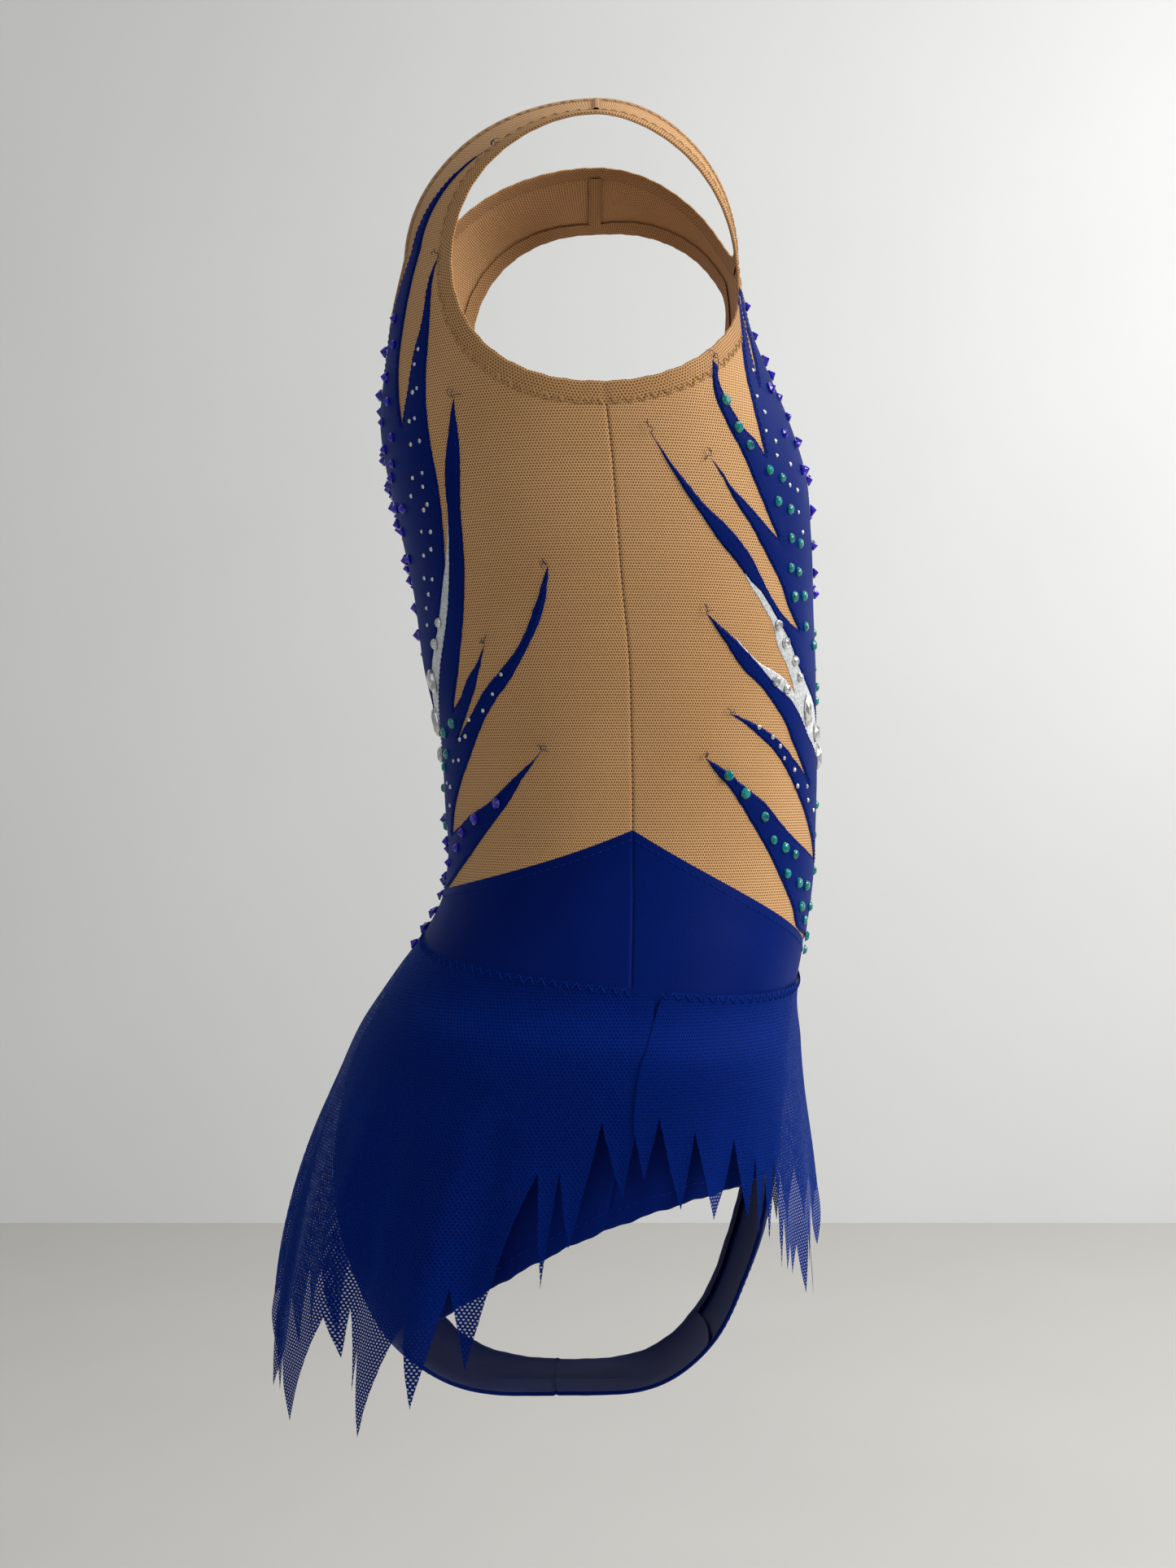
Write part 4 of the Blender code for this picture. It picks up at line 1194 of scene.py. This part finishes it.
# Percent across and level of the flames' visible tips, where thread ends stick out.
TIPS = {
    "front_flame_upper": ((62, -111), (71, -151), (88.5, -140.5)),
    "front_flame_lower": ((75.5, -212.5), (69, -252.5), (77, -270.5)),
    "back_flame_upper": ((54, -8), (50, -65)),
    "back_flame_lower": ((59.5, -126), (57.5, -224), (79.5, -194), (71.5, -267.5)),
}


def trimmings():
    stitches, loose = [], []
    for seed, (name, (half, outline)) in enumerate(FLAMES.items()):
        piece, line = trimming(f"{name}_cloth", half, outline, LYCRA, TRIM_LIFT, seed)
        declare(piece, [name], "laid", [f"bodice_{WORD[half]}_cloth"])
        stitches += edge_stitches(half, line, 1.1 * MM, TRIM_LIFT)
        loose += loose_threads(half, TIPS[name], seed + 10)
    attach(tubes("flame_edge_stitching", stitches, 0.16 * MM, BLUE_THREAD), "root")
    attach(tubes("flame_loose_threads", loose, 0.14 * MM, DARK_THREAD), "root")
    for seed, (name, (half, outline)) in enumerate(SILVERS.items()):
        piece, _ = trimming(f"{name}_cloth", half, outline, GLITTER, 0.6 * MM, seed + 4)
        declare(piece, [name], "laid", [f"bodice_{WORD[half]}_cloth"])


def all_stones():
    cone, cut = cone_shape(), round_shape()
    for half in (FRONT, BACK):
        word = WORD[half]
        kinds = (
            ("sapphire", cone, SAPPHIRES, SAPPHIRE, 4.6, 4.6, (0.85, 1.15)),
            ("teal", cut, TEALS, TEAL, 4.3, 4.3, (0.9, 1.1)),
            ("tiny_clear", cut, TINIES, CLEAR, 1.9, 1.9, (0.85, 1.15)),
        )
        for number, (kind, shape, listed, finish, width, length, scale) in enumerate(kinds):
            rows = [r for (word_key, h), r in CENTRE_ROWS.items()
                    if h == half and word_key.split("_")[0] == kind.split("_")[0]]
            places = spread(half, listed[half], rows, seed=number + 7 * (half > 0))
            random = np.random.default_rng(number)
            size = random.uniform(*scale, len(places))[:, None] * np.array([width, length, width]) * MM
            piece = stones(f"{kind}_stones_{word}", shape, places, size, finish, seed=number)
            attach(piece, "root")


def big_crystals():
    counts = {FRONT: 0, BACK: 0}
    for half, across, level, width, length in CRYSTALS:
        counts[half] += 1
        for side, sign in SIDES:
            places = np.array([(half, sign * across / 100, level * MM)])
            size = [(width * MM, length * MM, min(width, 6.5) * MM)]
            label = f"{WORD[half]}_{side}_{counts[half]}"
            seed = counts[half] * 2 + (sign > 0)
            piece = stones(f"cut_crystal_{label}", round_shape(10), places, size, CLEAR, seed, 0.8 * MM)
            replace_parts(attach(piece, "root"), f"crystal_{label}")


# Folds of the hanging skirt: their height, and waves of share, pitch across, phase and lean.
FOLDS = {
    BACK: (3.0 * MM, ((1, 17, 0.6, 0), (0.7, 29, -1.1, 9), (0.35, 53, 0, 14))),
    FRONT: (2.2 * MM, ((1, 15, 2.0, 0), (0.7, 27, 0.4, -8), (0.35, 47, 0, -12))),
}
# How far round a panel goes.
SKIRT_END = {BACK: 1.08, FRONT: 0.90}


def skirt_points(half, places, layer):
    """The skirt: sewn close to the hips, then hanging free in soft folds."""
    across, level = places[:, 1], places[:, 2]
    flat = np.clip(np.abs(across), 0, 1.2)
    down = np.maximum(skirt_seam(half, flat) - level, 0)
    free = smooth((down - 20 * MM) / (130 * MM))
    size, waves = FOLDS[half]
    folds = sum(share * np.sin(across * pitch + phase + lean * level) for share, pitch, phase, lean in waves)
    folds = folds * (1 - 0.75 * smooth((flat - 0.8) / 0.2))
    hugging = lay(places, SKIRT_LIFT + layer)
    hanging = point(SKIRT, places) + normal(SKIRT, places) * (layer + size * free * folds)[:, None]
    mix = smooth(down / (24 * MM))[:, None]
    return hugging * (1 - mix) + hanging * mix


def skirt():
    threads = []
    for half in (BACK, FRONT):
        wide = SKIRT_END[half]
        seam = [(100 * a, skirt_seam(half, a) / MM + 2.5) for a in np.linspace(wide, 0, 24)]
        line = rounded(both_sides(SKIRT_HEM[half] + seam[1:]), 2.2 * MM, sharp=35)
        line = ragged(line, 0.1 * MM, 21 + half)
        places, faces, edge = cut_out(half, line, 2.6 * MM, rings=(0.9 * MM,))
        layer = 0.9 * MM if half == FRONT else 0.0
        shape = skirt_points(half, places, layer)
        curl = smooth(1 - edge / (2.5 * MM)) * smooth((-0.40 - places[:, 2]) / (30 * MM))
        up = normal(SKIRT, places)
        shape = shape + up * (0.35 * MM * curl)[:, None]
        piece = mesh_piece(f"skirt_{WORD[half]}_panel", shape, outwards(shape, faces, up), STRETCH_MESH,
                           pattern_uv(places))
        declare(piece, [f"skirt_{WORD[half]}_upper", f"skirt_{WORD[half]}_lower"],
                "hung", [f"brief_{WORD[half]}_cloth"], body=None)
        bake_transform(piece)
        across = np.linspace(-wide, wide, 400) * 0.999
        seam_line = wrapped(on_half(half, across, skirt_seam(half, across) + 0.5 * MM))
        seam_line = resampled(seam_line[seam_line[:, 0] == half], EDGE_STEP, False)
        threads += zigzag(seam_line, across_line(seam_line), -1.6 * MM, 1.6 * MM,
                          SKIRT_LIFT + layer + 0.25 * MM)
    return threads


def topstitch():
    paths = []
    for half in (FRONT, BACK):
        line = on_half(half, np.linspace(-0.995, 0.995, 300), 0)
        line[:, 2] = brief_top(line) - 3.6 * MM
        paths += dashes(line, 0.45 * MM, 2.2 * MM, 1.0 * MM)
    return paths


bodice()
brief()
nude_stitches, blue_stitches = openings()
side_seams()
shoulder_seams()
trimmings()
all_stones()
big_crystals()
blue_stitches += skirt() + topstitch()
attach(tubes("edge_zigzag_stitching_nude", nude_stitches, 0.2 * MM, NUDE_THREAD), "root")
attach(tubes("seam_stitching_blue", blue_stitches, 0.18 * MM, BLUE_THREAD), "root")
sheets()


# ---- stage, light and camera

FLOOR_Z, WALL_X = -0.867, 2.1


def stage_plane(name, size, location, rotation, color):
    m = Nodes(name)
    speck = m.cloud(m.place(), 3.0, 4.0)
    m.color(speck, color, dimmed(color, 0.97))
    m.set(Roughness=0.75)
    bpy.ops.mesh.primitive_plane_add(size=size, location=location, rotation=rotation)
    plane = bpy.context.object
    plane.name = name
    plane.data.materials.append(m.material)


def area_light(name, location, target, size, energy, color):
    light = bpy.data.lights.new(name, "AREA")
    light.shape, light.size, light.energy, light.color = "DISK", size, energy, color
    made = linked(name, light)
    made.location = location
    aim = np.array(target) - np.array(location)
    made.rotation_euler = Vector(aim).to_track_quat("-Z", "Y").to_euler()


stage_plane("floor", 16, (0, 0, FLOOR_Z), (0, 0, 0), (0.62, 0.605, 0.575, 1))
# The wall is further off than the photo's, because a nearer one hides the garment in a view from the side.
stage_plane("backdrop", 14, (WALL_X, 0, 0), (0, -math.pi / 2, 0), (0.78, 0.78, 0.77, 1))
area_light("key", (-0.75, -1.75, 0.8), (0, 0, -0.25), 1.2, 38, (1.0, 0.985, 0.96))
area_light("fill", (-1.6, 0.7, 0.5), (0, 0, -0.3), 1.6, 4, (0.95, 0.97, 1.0))
area_light("wall_light", (0.9, -1.6, 0.7), (WALL_X, 0.1, -0.1), 1.2, 19, (1.0, 1.0, 0.99))
area_light("top", (0.2, -0.5, 1.6), (0, 0, -0.3), 1.2, 11, (1.0, 1.0, 1.0))

world = bpy.data.worlds.new("studio")
world.use_nodes = True
world.node_tree.nodes["Background"].inputs[0].default_value = (0.9, 0.95, 1.0, 1)
world.node_tree.nodes["Background"].inputs[1].default_value = 0.27
bpy.context.scene.world = world
bpy.context.scene.view_settings.view_transform = "Standard"

camera = bpy.data.cameras.new("camera")
camera.lens, camera.sensor_width = 53.99, 36
camera_object = linked("camera", camera)
camera_object.location = (-1.04, 0.0034, -0.281)
camera_object.rotation_euler = (math.pi / 2, 0, -math.pi / 2)
bpy.context.scene.camera = camera_object
